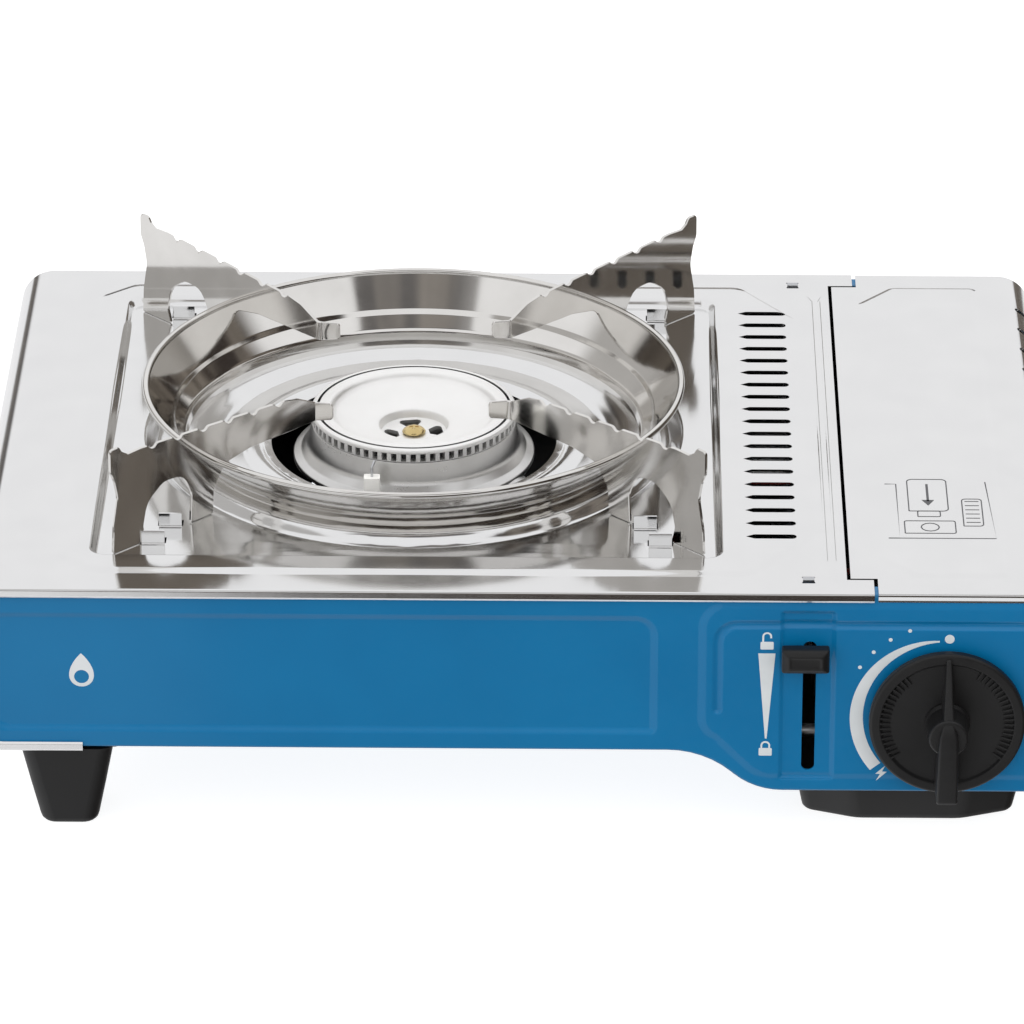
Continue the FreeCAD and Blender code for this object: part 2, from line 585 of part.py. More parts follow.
def ignition_lead():
    """High-tension lead: from the piezo's tail, through the partition, to the foot of the insulator."""
    z = PIEZO_Z
    points = [
        Vector(PIEZO_X, PIEZO_Y0 + 30, z), Vector(PIEZO_X, LEAD_Y, z), Vector(92.0, LEAD_Y, z),
        Vector(40.0, -92.0, 62.0), Vector(-30.0, -84.0, 56.0), Vector(ELECTRODE_X, ELECTRODE_Y - 14, 52.0),
        Vector(ELECTRODE_X, ELECTRODE_Y, 58.0), Vector(ELECTRODE_X, ELECTRODE_Y, PLATE_TOP - 22),
    ]
    return bent_tube(points, 1.1, 5.0)


# ---- gas train -----------------------------------------------------------------------------------------
REG_Y1 = -98.0         # back of the valve barrel
OUTLET_Y, OUTLET_Z = -108.0, KNOB_Z - 15.5
COVER_Y = -107.7
FLANGE_SCREWS = [(KNOB_X + sx * 22, KNOB_Z + sz * 18) for sx in (-1, 1) for sz in (-1, 1)]
INLET_Y = -84.0
JET_START = MIX_LENGTH + 4.0


def regulator_bracket():
    """Plate behind the front panel that carries the regulator and, on its cradle, the piezo."""
    y = PANEL_Y + SHEET
    plate = box(KNOB_X - 26, KNOB_X + 26, y, y + 1.5, KNOB_Z - 22, KNOB_Z + 24)
    shelf = box(KNOB_X - 26, KNOB_X + 26, y, y + 14, KNOB_Z - 23.5, KNOB_Z - 22)
    ear = box(PIEZO_X - 4.6, PIEZO_X + 4.6, y, y + 1.5, KNOB_Z + 20, PIEZO_Z - 4.6)
    cradle = box(PIEZO_X - 4.6, PIEZO_X + 4.6, y, PIEZO_Y0 + 26, PIEZO_Z - 6.1, PIEZO_Z - 4.6)
    holes = [cyl(6.0, 6, (KNOB_X, y - 2, KNOB_Z), Y)]
    holes += [cyl(1.7, 6, (x, y - 2, z), Y) for x, z in FLANGE_SCREWS]
    return cut(fuse(plate, shelf, ear, cradle), *holes)


def regulator_body():
    """Die-cast body: valve barrel about the spindle, flange, and the inlet block that meets the cartridge."""
    y = PANEL_Y + SHEET + 1.5
    flange = box(KNOB_X - 25, KNOB_X + 25, y, y + 2.5, KNOB_Z - 20, KNOB_Z + 22)
    barrel = cyl(16.0, REG_Y1 - y, (KNOB_X, y, KNOB_Z), Y)
    neck = box(CART_X - 9, CART_X + 9, REG_Y1 - 8, INLET_Y - 8, CART_Z - 12, CART_Z + 5.9)
    inlet = cyl(8.0, 8.0, (CART_X, INLET_Y - 8, CART_Z), Y)
    outlet = cyl(4.5, 26, (KNOB_X - 30, OUTLET_Y, OUTLET_Z), X)
    pad = cyl(13.0, 8.2, (KNOB_X, COVER_Y, KNOB_Z + 8))
    bore = cyl(SPINDLE_R + RUNNING, 16, (KNOB_X, y - 1, KNOB_Z), Y)
    throat = cyl(2.6, 10, (CART_X, INLET_Y - 9, CART_Z), Y)
    ways = [cyl(1.7, 8, (x, y - 2, z), Y) for x, z in FLANGE_SCREWS]
    body = fuse(flange, barrel, neck, inlet, outlet, pad)
    return cut(body, bore, throat, *ways)


def regulator_cover():
    """Diaphragm cover on top of the valve barrel."""
    base = KNOB_Z + 16.2
    y = COVER_Y
    ring = [(0, base), (13.0, base), (13.0, base + 2.0), (10.0, base + 3.0), (8.0, base + 8.0),
            (0, base + 8.4)]
    points = [Vector(KNOB_X + r, y, z) for r, z in ring]
    face = Part.Face(Part.makePolygon(points + [points[0]]))
    return face.revolve(Vector(KNOB_X, y, 0), Z, 360)


def regulator_screws():
    y = PANEL_Y + SHEET + 1.5
    made = []
    for x, z in FLANGE_SCREWS:
        made.append(fuse(cyl(1.5, 6.5, (x, y - 1.4, z), Y), cyl(3.0, 1.8, (x, y + 2.5, z), Y)))
    return Part.Compound(made)


def inlet_seal():
    return tube(5.4, 2.8, 1.6, (CART_X, INLET_Y, CART_Z), Y)


def collar_guide():
    """Plate that squares the cartridge's collar to the inlet, with the key that fits the collar's notch."""
    y = INLET_Y - 7.5
    plate = box(CART_X - 24, CART_X + 24, y, y + 1.5, CART_Z - 26, CART_Z + 22)
    hole = cyl(8.15, 6, (CART_X, y - 2, CART_Z), Y)
    key = box(CART_X - 3, CART_X + 3, y, y + 9, CART_Z + 18, CART_Z + 19.5)
    sill = box(CART_X - 24, CART_X + 24, y, y + 12, BAY_FLOOR, BAY_FLOOR + 1.2)
    legs = [box(x - 4, x + 4, y, y + 1.5, BAY_FLOOR, CART_Z - 25) for x in (CART_X - 20, CART_X + 20)]
    return cut(fuse(plate, key, sill, *legs), hole)


def jet_injector():
    start = polar(JET_START, MIX_ANGLE, MIX_Z)
    direction = polar(0.0, MIX_ANGLE) - polar(1.0, MIX_ANGLE)
    across = Vector(-direction.y, direction.x, 0)
    corners = []
    for i in range(7):
        angle = math.radians(60 * i)
        corners.append(start + (across * math.cos(angle) + Z * math.sin(angle)) * 4.6)
    body = Part.Face(Part.makePolygon(corners)).extrude(direction * 5.0)
    nose = Part.makeCone(3.0, 1.6, 4.0, start + direction * 5.0, direction)
    return fuse(body, nose)


def gas_tube():
    """Steel feed pipe from the regulator's outlet, through the partition, to the jet."""
    start = polar(JET_START, MIX_ANGLE, MIX_Z)
    outward = polar(JET_START + 26, MIX_ANGLE, MIX_Z)
    outlet = Vector(KNOB_X - 30, OUTLET_Y, OUTLET_Z)
    points = [start, outward, Vector(79.0, OUTLET_Y, OUTLET_Z), outlet]
    return bent_tube(points, 2.4, 7.0)


# ---- controls ------------------------------------------------------------------------------------------
def valve_spindle():
    """Spindle that the knob turns: it runs in the regulator's bore and carries the knob on a plain end."""
    y0 = FRONT - SPINDLE_END
    y1 = PANEL_Y + SHEET + 13.0
    return fuse(cyl(SPINDLE_R, y1 - y0, (KNOB_X, y0, KNOB_Z), Y),
                cyl(4.4, 1.2, (KNOB_X, PANEL_Y + 0.4, KNOB_Z), Y))


def control_knob():
    face = FRONT - 5.5
    back = FRONT - 2.0
    flange = turned([
        (0, back), (KNOB_R, back), (KNOB_R, face + 1.0), (KNOB_R - 1.2, face), (KNOB_R - 4.5, face),
        (KNOB_R - 5.0, face + 0.8), (9.0, face + 0.8), (7.0, face), (7.0, FRONT - 16.0), (6.2, FRONT - 16.6),
        (0, FRONT - 16.6),
    ], KNOB_X, KNOB_Z)
    half_low, half_high, tip = 3.5, 1.3, 25.2
    side = [(face + 0.4, KNOB_Z + tip), (face - 1.0, KNOB_Z + tip), (FRONT - KNOB_REACH, KNOB_Z + 3.0),
            (FRONT - KNOB_REACH, KNOB_Z - tip), (face + 0.4, KNOB_Z - tip)]
    blade_face = Part.Face(Part.makePolygon([Vector(KNOB_X - half_low, y, z) for y, z in side + side[:1]]))
    blade = blade_face.extrude(Vector(2 * half_low, 0, 0))
    plan = Part.Face(Part.makePolygon([
        Vector(KNOB_X - half_low, 0, KNOB_Z - tip - 1), Vector(KNOB_X + half_low, 0, KNOB_Z - tip - 1),
        Vector(KNOB_X + half_high, 0, KNOB_Z + tip + 1), Vector(KNOB_X - half_high, 0, KNOB_Z + tip + 1),
        Vector(KNOB_X - half_low, 0, KNOB_Z - tip - 1)]))
    plan.translate(Vector(0, FRONT - KNOB_REACH - 1, 0))
    blade = blade.common(plan.extrude(Vector(0, 40, 0)))
    bore = cyl(SPINDLE_R + RUNNING, 20, (KNOB_X, FRONT - SPINDLE_END - KNOB_TRAVEL - 0.5, KNOB_Z), Y)
    return cut(fuse(flange, blade), bore)


def lock_lever():
    """Steel lever: front neck through the slot, pivot eye, and the upright arm that drives the carriage."""
    x0, x1 = SLOT_X - 0.75, SLOT_X + 0.75
    neck_z = LEVER_PIVOT_Z + (BUTTON_Z - LEVER_PIVOT_Z) * 0.92
    drive_z = LEVER_PIVOT_Z + DRIVE_ARM
    outline = [
        (BUTTON_Y + 1.0, BUTTON_Z - 2.6), (PANEL_Y + 6, neck_z - 3.4), (LEVER_PIVOT_Y - 8, LEVER_PIVOT_Z - 6),
        (LEVER_PIVOT_Y + 6, LEVER_PIVOT_Z - 6), (LEVER_PIVOT_Y + 6, drive_z + 4),
        (LEVER_PIVOT_Y - 5, drive_z + 4), (LEVER_PIVOT_Y - 9, LEVER_PIVOT_Z + 9),
        (PANEL_Y + 6, neck_z + 3.4), (BUTTON_Y + 1.0, BUTTON_Z + 2.6),
    ]
    points = [Vector(x0, y, z) for y, z in outline]
    plate = Part.Face(Part.makePolygon(points + [points[0]])).extrude(Vector(x1 - x0, 0, 0))
    plate = plate.cut(cyl(1.5 + RUNNING, 6, (x0 - 2, LEVER_PIVOT_Y, LEVER_PIVOT_Z), X))
    peg = cyl(1.5, 4.6, (x1 - 0.1, LEVER_PIVOT_Y, drive_z), X)
    return fuse(plate, peg)


def lever_button():
    y0, y1 = BUTTON_Y - 3.0, BUTTON_Y + 3.0
    half_w, half_h = 8.3, 4.6
    middle = SLOT_X - 1.6
    block = box(middle - half_w, middle + half_w, y0, y1, BUTTON_Z - half_h, BUTTON_Z + half_h)
    front = [e for e in block.Edges if all(abs(v.Point.y - y0) < 1e-6 for v in e.Vertexes)]
    block = block.makeChamfer(1.6, front)
    neck_slot = box(SLOT_X - 0.75, SLOT_X + 0.75, BUTTON_Y + 1.0, y1 + 1, BUTTON_Z - 3.2, BUTTON_Z + 3.2)
    return block.cut(neck_slot)


def lever_pivot_pin():
    shank = cyl(1.5, 6.4, (PARTITION_X + SHEET, LEVER_PIVOT_Y, LEVER_PIVOT_Z), X)
    head = cyl(2.8, 0.9, (PARTITION_X + SHEET + 6.2, LEVER_PIVOT_Y, LEVER_PIVOT_Z), X)
    shoulder = cyl(2.8, 2.6, (PARTITION_X + SHEET, LEVER_PIVOT_Y, LEVER_PIVOT_Z), X)
    return fuse(shank, head, shoulder)


def cartridge_carriage():
    """Sliding tray under the cartridge: flat base, rear pusher and the driven ear beside the lever."""
    drive_z = LEVER_PIVOT_Z + DRIVE_ARM
    z0 = BAY_FLOOR + 0.35
    base = box(CART_X - 22, CART_X + 22, -66.0, CART_REAR + 3.2, z0, z0 + 1.2)
    bridge = box(106.6, CART_X - 21, LEVER_PIVOT_Y - 9, LEVER_PIVOT_Y + 9, z0, z0 + 1.2)
    ear = box(106.6, 107.8, LEVER_PIVOT_Y - 9, LEVER_PIVOT_Y + 9, z0, drive_z + 7)
    pusher = box(CART_X - 22, CART_X + 22, CART_REAR + 2.0, CART_REAR + 3.2, z0, CART_Z + 20)
    slot = box(106.0, 108.5, LEVER_PIVOT_Y - 2.3, LEVER_PIVOT_Y + 2.3, drive_z - 5, drive_z + 4)
    return cut(fuse(base, bridge, ear, pusher), slot)


# ---- inner plates --------------------------------------------------------------------------------------
def partition_plate():
    """Heat screen between burner and cartridge, with a top flange whose two tabs lock into the top plate."""
    y0, y1 = PANEL_Y + SHEET + 8, REAR_PANEL_Y - SHEET - 8
    wall = box(PARTITION_X, PARTITION_X + SHEET, y0, y1, BAY_FLOOR, PLATE_UNDER - 0.2)
    foot = box(PARTITION_X - 3.2, PARTITION_X + SHEET, y0, y1, BAY_FLOOR, BAY_FLOOR + SHEET)
    flange = box(PARTITION_X, TAB_X + 3, y0, y1, PLATE_UNDER - 0.2 - SHEET, PLATE_UNDER - 0.2)
    parts = [wall, foot, flange]
    for y in (FRONT + TAB_INSET, REAR - TAB_INSET):
        inner = y + 6 if y < MID_Y else y - 6
        arm = sorted((y - 1.3 if y < MID_Y else y + 1.3, inner))
        parts.append(box(TAB_X - 2, TAB_X + 2, arm[0], arm[1], PLATE_UNDER - 0.2 - SHEET, PLATE_UNDER - 0.2))
        parts.append(box(TAB_X - 2, TAB_X + 2, y - 1.3, y + 1.3, PLATE_UNDER - 0.4, PLATE_TOP + 0.6))
    holes = [
        cyl(5.0, 20, (PARTITION_X - 8, OUTLET_Y, OUTLET_Z), X),
        cyl(3.0, 20, (PARTITION_X - 8, LEAD_Y, PIEZO_Z), X),
        box(PARTITION_X - 2, PARTITION_X + 3, 39.0, 81.0, 57.6, 60.4),
    ]
    for i in range(5):
        y = -20 + 12 * i
        holes.append(box(PARTITION_X - 2, PARTITION_X + 3, y, y + 3, 30, 44))
    return cut(fuse(*parts), *holes)


def heat_transfer_plate():
    """Aluminium strip that carries a little burner heat to the cartridge's side."""
    flat = box(28.0, 113.0, 40.0, 80.0, 58.4, 59.6)
    drop = box(111.8, 113.0, 40.0, 80.0, 42.0, 59.6)
    return fuse(flat, drop)


# ---- feet and fasteners --------------------------------------------------------------------------------
def floor_under(x):
    return RIGHT_FLOOR if x > 84 else LEFT_FLOOR


FOOT_SCREWS = [
    (FOOT_X + 14.0, FOOT_FRONT_Y), (FOOT_X + 14.0, FOOT_REAR_Y),
    (WIDE_FOOT_X - 20, WIDE_FRONT_Y + 2), (WIDE_FOOT_X + 20, WIDE_FRONT_Y + 2),
    (WIDE_FOOT_X - 20, WIDE_REAR_Y - 2), (WIDE_FOOT_X + 20, WIDE_REAR_Y - 2),
]


def tall_foot(y):
    """Tapered foot under the shallow end, hollow from below, with a screw flange at its inner side."""
    top = WRAP_UNDER - 0.05
    upper = rounded(rect(FOOT_X - 18.6, FOOT_X + 14.6, y - 14.5, y + 14.5, 3.0), "xy", top)
    lower = rounded(rect(FOOT_X - 11.8, FOOT_X + 8.2, y - 12.0, y + 12.0, 3.0), "xy", 0)
    foot = Part.makeLoft([lower, upper], True, True)
    hollow = box(FOOT_X - 8.8, FOOT_X + 5.2, y - 9, y + 9, -1, 18)
    flange = box(FOOT_X + 6, FOOT_X + 19, y - 8, y + 8, top - 2.0, LEFT_FLOOR - 0.02)
    flange = flange.cut(box(LEFT, WRAP_END + 0.1, FRONT, REAR, WRAP_UNDER - 0.05, LEFT_FLOOR + 1))
    pilot = cyl(1.45, 12, (FOOT_X + 14, y, LEFT_FLOOR - 10))
    return cut(fuse(foot, flange), hollow, pilot)


def wide_foot(y, side):
    """Low wide foot under the cartridge end; side is -1 at the front, +1 at the back, where it bulges."""
    x0, x1 = WIDE_FOOT_X - 40.1, WIDE_FOOT_X + 40.1
    top = RIGHT_FLOOR - 0.02

    def outline(z, grow):
        points = [
            (x0 - grow + 3, y - side * 9, 2.0), (x1 + grow - 3, y - side * 9, 2.0),
            (x1 + grow - 3, y + side * 3.0, 4.0), (x1 - 22, y + side * (9.0 + grow), 12.0),
            (x0 + 22, y + side * (9.0 + grow), 12.0),
            (x0 - grow + 3, y + side * 3.0, 4.0),
        ]
        return rounded(points, "xy", z)

    foot = Part.makeLoft([outline(0, 0.0), outline(top, 2.6)], True, True)
    hollow = box(x0 + 7, x1 - 7, y - 5.5, y + 5.5, -1, 11)
    ours = [(sx, sy) for sx, sy in FOOT_SCREWS if sx > 84 and abs(sy - y) < 9]
    pilots = [cyl(1.45, 12, (sx, sy, RIGHT_FLOOR - 10)) for sx, sy in ours]
    return cut(foot, hollow, *pilots)


def foot_screws():
    """Self-tapping screws driven down from inside the shell into the feet."""
    made = []
    for x, y in FOOT_SCREWS:
        z = floor_under(x) + SHEET
        made.append(fuse(cyl(3.0, 1.2, (x, y, z)), cyl(1.4, 8.0, (x, y, z - 7.9))))
    return Part.Compound(made)


ARMS = {"front_left": (225, 1), "front_right": (315, -1), "rear_left": (135, -1), "rear_right": (45, 1)}

NODES = {
    "base_shell": base_shell,
    "top_plate": top_plate,
    "cartridge_lid": cartridge_lid,
    "lid_hinge_pin": lid_hinge_pin,
    "lid_catch": lid_catch,
    "pan_support_ring": pan_ring,
    "burner_bowl": burner_bowl,
    "burner_cap": burner_cap,
    "burner_screw": burner_screw,
    "burner_bracket": burner_bracket,
    "burner_bracket_screws": bracket_screws,
    "igniter_insulator": igniter_insulator,
    "igniter_electrode": igniter_electrode,
    "igniter_bracket": igniter_bracket,
    "piezo_igniter": piezo_igniter,
    "ignition_lead": ignition_lead,
    "regulator_bracket": regulator_bracket,
    "regulator_body": regulator_body,
    "regulator_cover": regulator_cover,
    "regulator_screws": regulator_screws,
    "inlet_seal": inlet_seal,
    "collar_guide": collar_guide,
    "jet_injector": jet_injector,
    "gas_tube": gas_tube,
    "valve_spindle": valve_spindle,
    "control_knob": control_knob,
    "lock_lever": lock_lever,
    "lever_button": lever_button,
    "lever_pivot_pin": lever_pivot_pin,
    "cartridge_carriage": cartridge_carriage,
    "partition_plate": partition_plate,
    "heat_transfer_plate": heat_transfer_plate,
    "foot_front_left": lambda: tall_foot(FOOT_FRONT_Y),
    "foot_rear_left": lambda: tall_foot(FOOT_REAR_Y),
    "foot_front_right": lambda: wide_foot(WIDE_FRONT_Y, -1),
    "foot_rear_right": lambda: wide_foot(WIDE_REAR_Y, 1),
    "foot_screws": foot_screws,
}
for place, (degrees, bend) in ARMS.items():
    NODES["pan_support_arm_" + place] = lambda d=degrees, b=bend: pan_arm(d, b)


def main():
    os.makedirs("parts", exist_ok=True)
    for name, make in NODES.items():
        shape = make()
        solids = shape.Solids
        good = all(s.isValid() and s.Volume > 0 for s in solids)
        print(f"{name:28s} solids {len(solids):2d} volume {shape.Volume:10.1f} valid {good}")
        shape.exportStep(f"parts/{name}.step")


main()
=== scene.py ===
"""Looks of the single-burner camping stove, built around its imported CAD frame.

Lengths are in millimetres (+X to the cartridge end, +Y to the back, +Z up) and become metres when a mesh is
made; lamps and camera are placed in metres. Pressed sheet parts are drawn flat, given their pressed heights,
bent along a path and thickened; turned parts are lathed from a profile.
"""

import json
import math

import bmesh
import bpy
import numpy as np
from mathutils import Matrix, Vector
from mathutils.geometry import delaunay_2d_cdt, tessellate_polygon


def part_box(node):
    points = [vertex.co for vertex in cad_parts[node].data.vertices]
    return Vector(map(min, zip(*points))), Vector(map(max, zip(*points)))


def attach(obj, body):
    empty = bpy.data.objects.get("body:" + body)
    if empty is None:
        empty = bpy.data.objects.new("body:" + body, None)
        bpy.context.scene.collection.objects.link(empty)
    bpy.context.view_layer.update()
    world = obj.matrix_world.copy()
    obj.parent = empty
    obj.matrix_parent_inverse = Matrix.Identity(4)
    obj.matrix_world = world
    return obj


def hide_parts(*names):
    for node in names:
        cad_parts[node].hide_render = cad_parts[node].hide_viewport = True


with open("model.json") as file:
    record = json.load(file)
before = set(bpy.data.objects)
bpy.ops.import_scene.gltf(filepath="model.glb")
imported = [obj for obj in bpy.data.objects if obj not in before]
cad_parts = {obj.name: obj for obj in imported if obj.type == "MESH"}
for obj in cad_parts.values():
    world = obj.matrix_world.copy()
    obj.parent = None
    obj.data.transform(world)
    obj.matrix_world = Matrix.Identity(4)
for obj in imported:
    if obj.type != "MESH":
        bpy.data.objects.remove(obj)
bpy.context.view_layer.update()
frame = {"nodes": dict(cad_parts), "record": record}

MM = 0.001


def extent(node):
    low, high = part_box(node)
    return low / MM, high / MM


# ---- positions, read from the frame --------------------------------------------------------------------
plate_low, plate_high = extent("top_plate")
lid_low, lid_high = extent("cartridge_lid")
shell_low, shell_high = extent("base_shell")
cap_low, cap_high = extent("burner_cap")
spindle_low, spindle_high = extent("valve_spindle")
knob_low, knob_high = extent("control_knob")
button_low, button_high = extent("lever_button")

LEFT, FRONT, REAR = plate_low.x, plate_low.y, plate_high.y
RIGHT, EAR_RIGHT, LID_LEFT = lid_high.x, plate_high.x, lid_low.x
MID_Y = (FRONT + REAR) / 2
BURNER = (cap_low + cap_high) / 2
BX, BY = BURNER.x, BURNER.y
CAP_RISE = 6.9                  # cap's rim above the top plate's border
TOP = cap_high.z - CAP_RISE     # top plate's border
KNOB_X = (spindle_low.x + spindle_high.x) / 2
KNOB_Z = (spindle_low.z + spindle_high.z) / 2
SLOT_OFFSET = 1.6               # the lever's slot lies right of the button's middle
SLOT_X = (button_low.x + button_high.x) / 2 + SLOT_OFFSET

# ---- sizes ---------------------------------------------------------------------------------------------
SHEET = 0.8
LIP = 3.6
WRAP_R = 13.0
WRAP_UNDER, WRAP_END = 31.2, -152.2
PLATE_RIGHT, EAR_DEPTH = EAR_RIGHT - 9.3, 11.2
PLATEAU_RISE, RECESS_DROP = 0.7, 2.0
RECESS_Z = TOP - RECESS_DROP
HINGE_X, HINGE_Z, KNUCKLE_R = 189.4, 26.0, 2.6
LID_WALL_END = 29.6
LID_KNUCKLES = [(-90.0, -60.0), (79.0, 109.0)]
SHELL_KNUCKLES = [(-110.0, -90.4), (-59.6, -40.0), (59.0, 78.6), (109.4, 129.0)]
LEFT_FLOOR, RIGHT_FLOOR = shell_low.z + 15.7, shell_low.z
PANEL_Y, REAR_PANEL_Y = shell_low.y, shell_high.y
ARM_T, ARM_IN, FOLD_LENGTH = 1.2, 49.5, 22.0
SPINDLE_BORE = 3.08
VENT_COUNT, VENT_PITCH, VENT_WIDTH = 19, 10.63, 3.4
DISH_HOLE_R = 52.1
FIELD_SINK = 0.9                # depth of the front panel's left field
PRINT_THICKNESS = 0.06


# ---- plane geometry ------------------------------------------------------------------------------------
ARC_SLACK = 0.01      # keeps arcs of equal sweep at equal counts of steps


class Path:
    """Line of straight runs and arcs through (a, b, radius) corners, measured by the distance along it."""

    def __init__(self, corners, closed=False, shift=0.0, arc_step=7.5):
        self.runs, self.shift, self.arc_step = [], shift, arc_step
        points = [Vector(c[:2]) for c in corners]
        count = len(corners)
        bends = []
        for i, (_, _, radius) in enumerate(corners):
            inner = closed or 0 < i < count - 1
            if radius <= 0 or not inner:
                bends.append((points[i], points[i], None))
                continue
            back = (points[i - 1] - points[i]).normalized()
            ahead = (points[(i + 1) % count] - points[i]).normalized()
            half = back.angle(ahead) / 2
            reach = radius / math.tan(half)
            centre = points[i] + (back + ahead).normalized() * (radius / math.sin(half))
            bends.append((points[i] + back * reach, points[i] + ahead * reach, centre))
        for i in range(count):
            start, end, centre = bends[i]
            if centre is not None:
                self._arc(start, end, centre)
            if closed or i < count - 1:
                self._line(end, bends[(i + 1) % count][0])
        self.length = sum(run[0] for run in self.runs)

    def _line(self, start, end):
        if (end - start).length > 1e-6:
            self.runs.append(((end - start).length, start, (end - start).normalized(), None, 0.0))

    def _arc(self, start, end, centre):
        arm, last = start - centre, end - centre
        sweep = math.atan2(arm.x * last.y - arm.y * last.x, arm.dot(last))
        self.runs.append((abs(sweep) * arm.length, centre, arm, centre, sweep))

    def at(self, s):
        """Point and left-hand normal at distance s; past the ends it carries straight on."""
        s -= self.shift
        for i, (length, start, heading, centre, sweep) in enumerate(self.runs):
            last = i == len(self.runs) - 1
            if s > length and not last:
                s -= length
                continue
            if centre is None:
                return start + heading * s, Vector((-heading.y, heading.x))
            turn = sweep * s / length
            arm = Matrix.Rotation(turn, 2) @ heading
            side = -1.0 if sweep > 0 else 1.0
            return centre + arm, arm.normalized() * side
        raise ValueError("empty path")

    def stops(self):
        """Distances at every run's ends and at even steps round its arcs."""
        marks, here = [self.shift], self.shift
        for length, _, _, centre, sweep in self.runs:
            turned = abs(math.degrees(sweep))
            steps = 1 if centre is None else max(2, math.ceil(turned / self.arc_step - ARC_SLACK))
            marks += [here + length * (k + 1) / steps for k in range(steps)]
            here += length
        return marks

    def points(self):
        return self.beside(0.0)

    def beside(self, distance):
        """Points at every stop, moved to the left of the line, or to its right if negative."""
        return [place + normal * distance for place, normal in map(self.at, self.stops())]


def outline(corners, arc_step=7.5):
    """Closed loop of points through rounded corners."""
    loop = Path(corners, closed=True, arc_step=arc_step).points()
    return [tuple(p) for p in loop[:-1]]


def rect(a0, a1, b0, b1, radius=0.0):
    return [(a0, b0, radius), (a1, b0, radius), (a1, b1, radius), (a0, b1, radius)]


def polar(a, b, radius, angle):
    return a + radius * math.cos(angle), b + radius * math.sin(angle)


def circle(a, b, radius, count=128, start=0.0, sweep=2 * math.pi):
    steps = count if sweep >= 2 * math.pi - 1e-6 else count + 1
    return [polar(a, b, radius, start + sweep * i / count) for i in range(steps)]


def inset(corners, distance):
    """Corners of an anticlockwise outline moved inward, with their radii kept concentric."""
    moved, count = [], len(corners)
    for i, (a, b, radius) in enumerate(corners):
        d1 = (Vector((a, b)) - Vector(corners[i - 1][:2])).normalized()
        d2 = (Vector(corners[(i + 1) % count][:2]) - Vector((a, b))).normalized()
        n1, n2 = Vector((-d1.y, d1.x)), Vector((-d2.y, d2.x))
        shift = (n1 + n2) * (distance / (1 + n1.dot(n2)))
        convex = d1.x * d2.y - d1.y * d2.x > 0
        kept = radius - distance if convex else radius + distance
        moved.append((a + shift.x, b + shift.y, max(0.05, kept)))
    return moved


def inside(points, loop):
    """For each point, whether it lies inside the loop."""
    p, v = np.asarray(points, float), np.asarray(loop, float)
    w = np.roll(v, -1, axis=0)
    py, px = p[:, 1:2], p[:, 0:1]
    crosses = (v[:, 1] > py) != (w[:, 1] > py)
    slope = np.where(w[:, 1] == v[:, 1], 1.0, w[:, 1] - v[:, 1])
    reach = v[:, 0] + (py - v[:, 1]) * (w[:, 0] - v[:, 0]) / slope
    return (np.sum(crosses & (px < reach), axis=1) % 2).astype(bool)


def nearest(points, starts, runs):
    """Distance from each point to the nearest of the segments that begin at `starts` and go along `runs`."""
    p = np.asarray(points, float)
    squares = np.maximum((runs * runs).sum(1), 1e-9)
    along = np.einsum("ijk,jk->ij", p[:, None, :] - starts[None], runs) / squares
    near = starts[None] + np.clip(along, 0, 1)[..., None] * runs[None]
    return np.sqrt(((p[:, None, :] - near) ** 2).sum(2)).min(1)


def depth_inside(points, loop):
    """Distance from the loop, positive inside it."""
    v = np.asarray(loop, float)
    distance = nearest(points, v, np.roll(v, -1, axis=0) - v)
    return np.where(inside(points, loop), distance, -distance)


# ---- meshes --------------------------------------------------------------------------------------------
BEND_STEPS = (0.0, 0.14, 0.32, 0.5, 0.68, 0.86, 1.0)


class Press:
    """A pressed area: its outline, how far it is raised (or sunk), and how wide its sloped wall is."""

    def __init__(self, corners, rise, wall):
        self.corners, self.rise, self.wall = corners, rise, wall
        self.edge = outline(corners)

    def guides(self):
        return [outline(inset(self.corners, self.wall * step)) if step else self.edge for step in BEND_STEPS]

    def height(self, points):
        t = np.clip(depth_inside(points, self.edge) / self.wall, 0, 1)
        return self.rise * t * t * (3 - 2 * t)


class Groove:
    """A pressed bead that follows a line, rising to one side."""

    def __init__(self, corners, rise, width):
        self.path, self.rise, self.width = Path(corners), rise, width
        self.line = [tuple(p) for p in self.path.points()]

    def guides(self):
        loops = []
        for share in (0.15, 0.4, 0.65, 0.85, 1.0):
            half = self.width / 2 * share
            ends = []
            for s, side in ((self.path.length, -1), (0.0, 1)):
                tip, normal = self.path.at(s)
                ends.append([tip + Matrix.Rotation(side * math.pi * k / 8, 2) @ (normal * half * side)
                             for k in range(1, 8)])
            left, right = self.path.beside(half), self.path.beside(-half)
            loops.append([tuple(p) for p in left + ends[0] + right[::-1] + ends[1]])
        return loops

    def height(self, points):
        v = np.asarray(self.line, float)
        distance = nearest(points, v[:-1], v[1:] - v[:-1])
        return self.rise * 0.5 * (1 + np.cos(math.pi * np.clip(distance / (self.width / 2), 0, 1)))


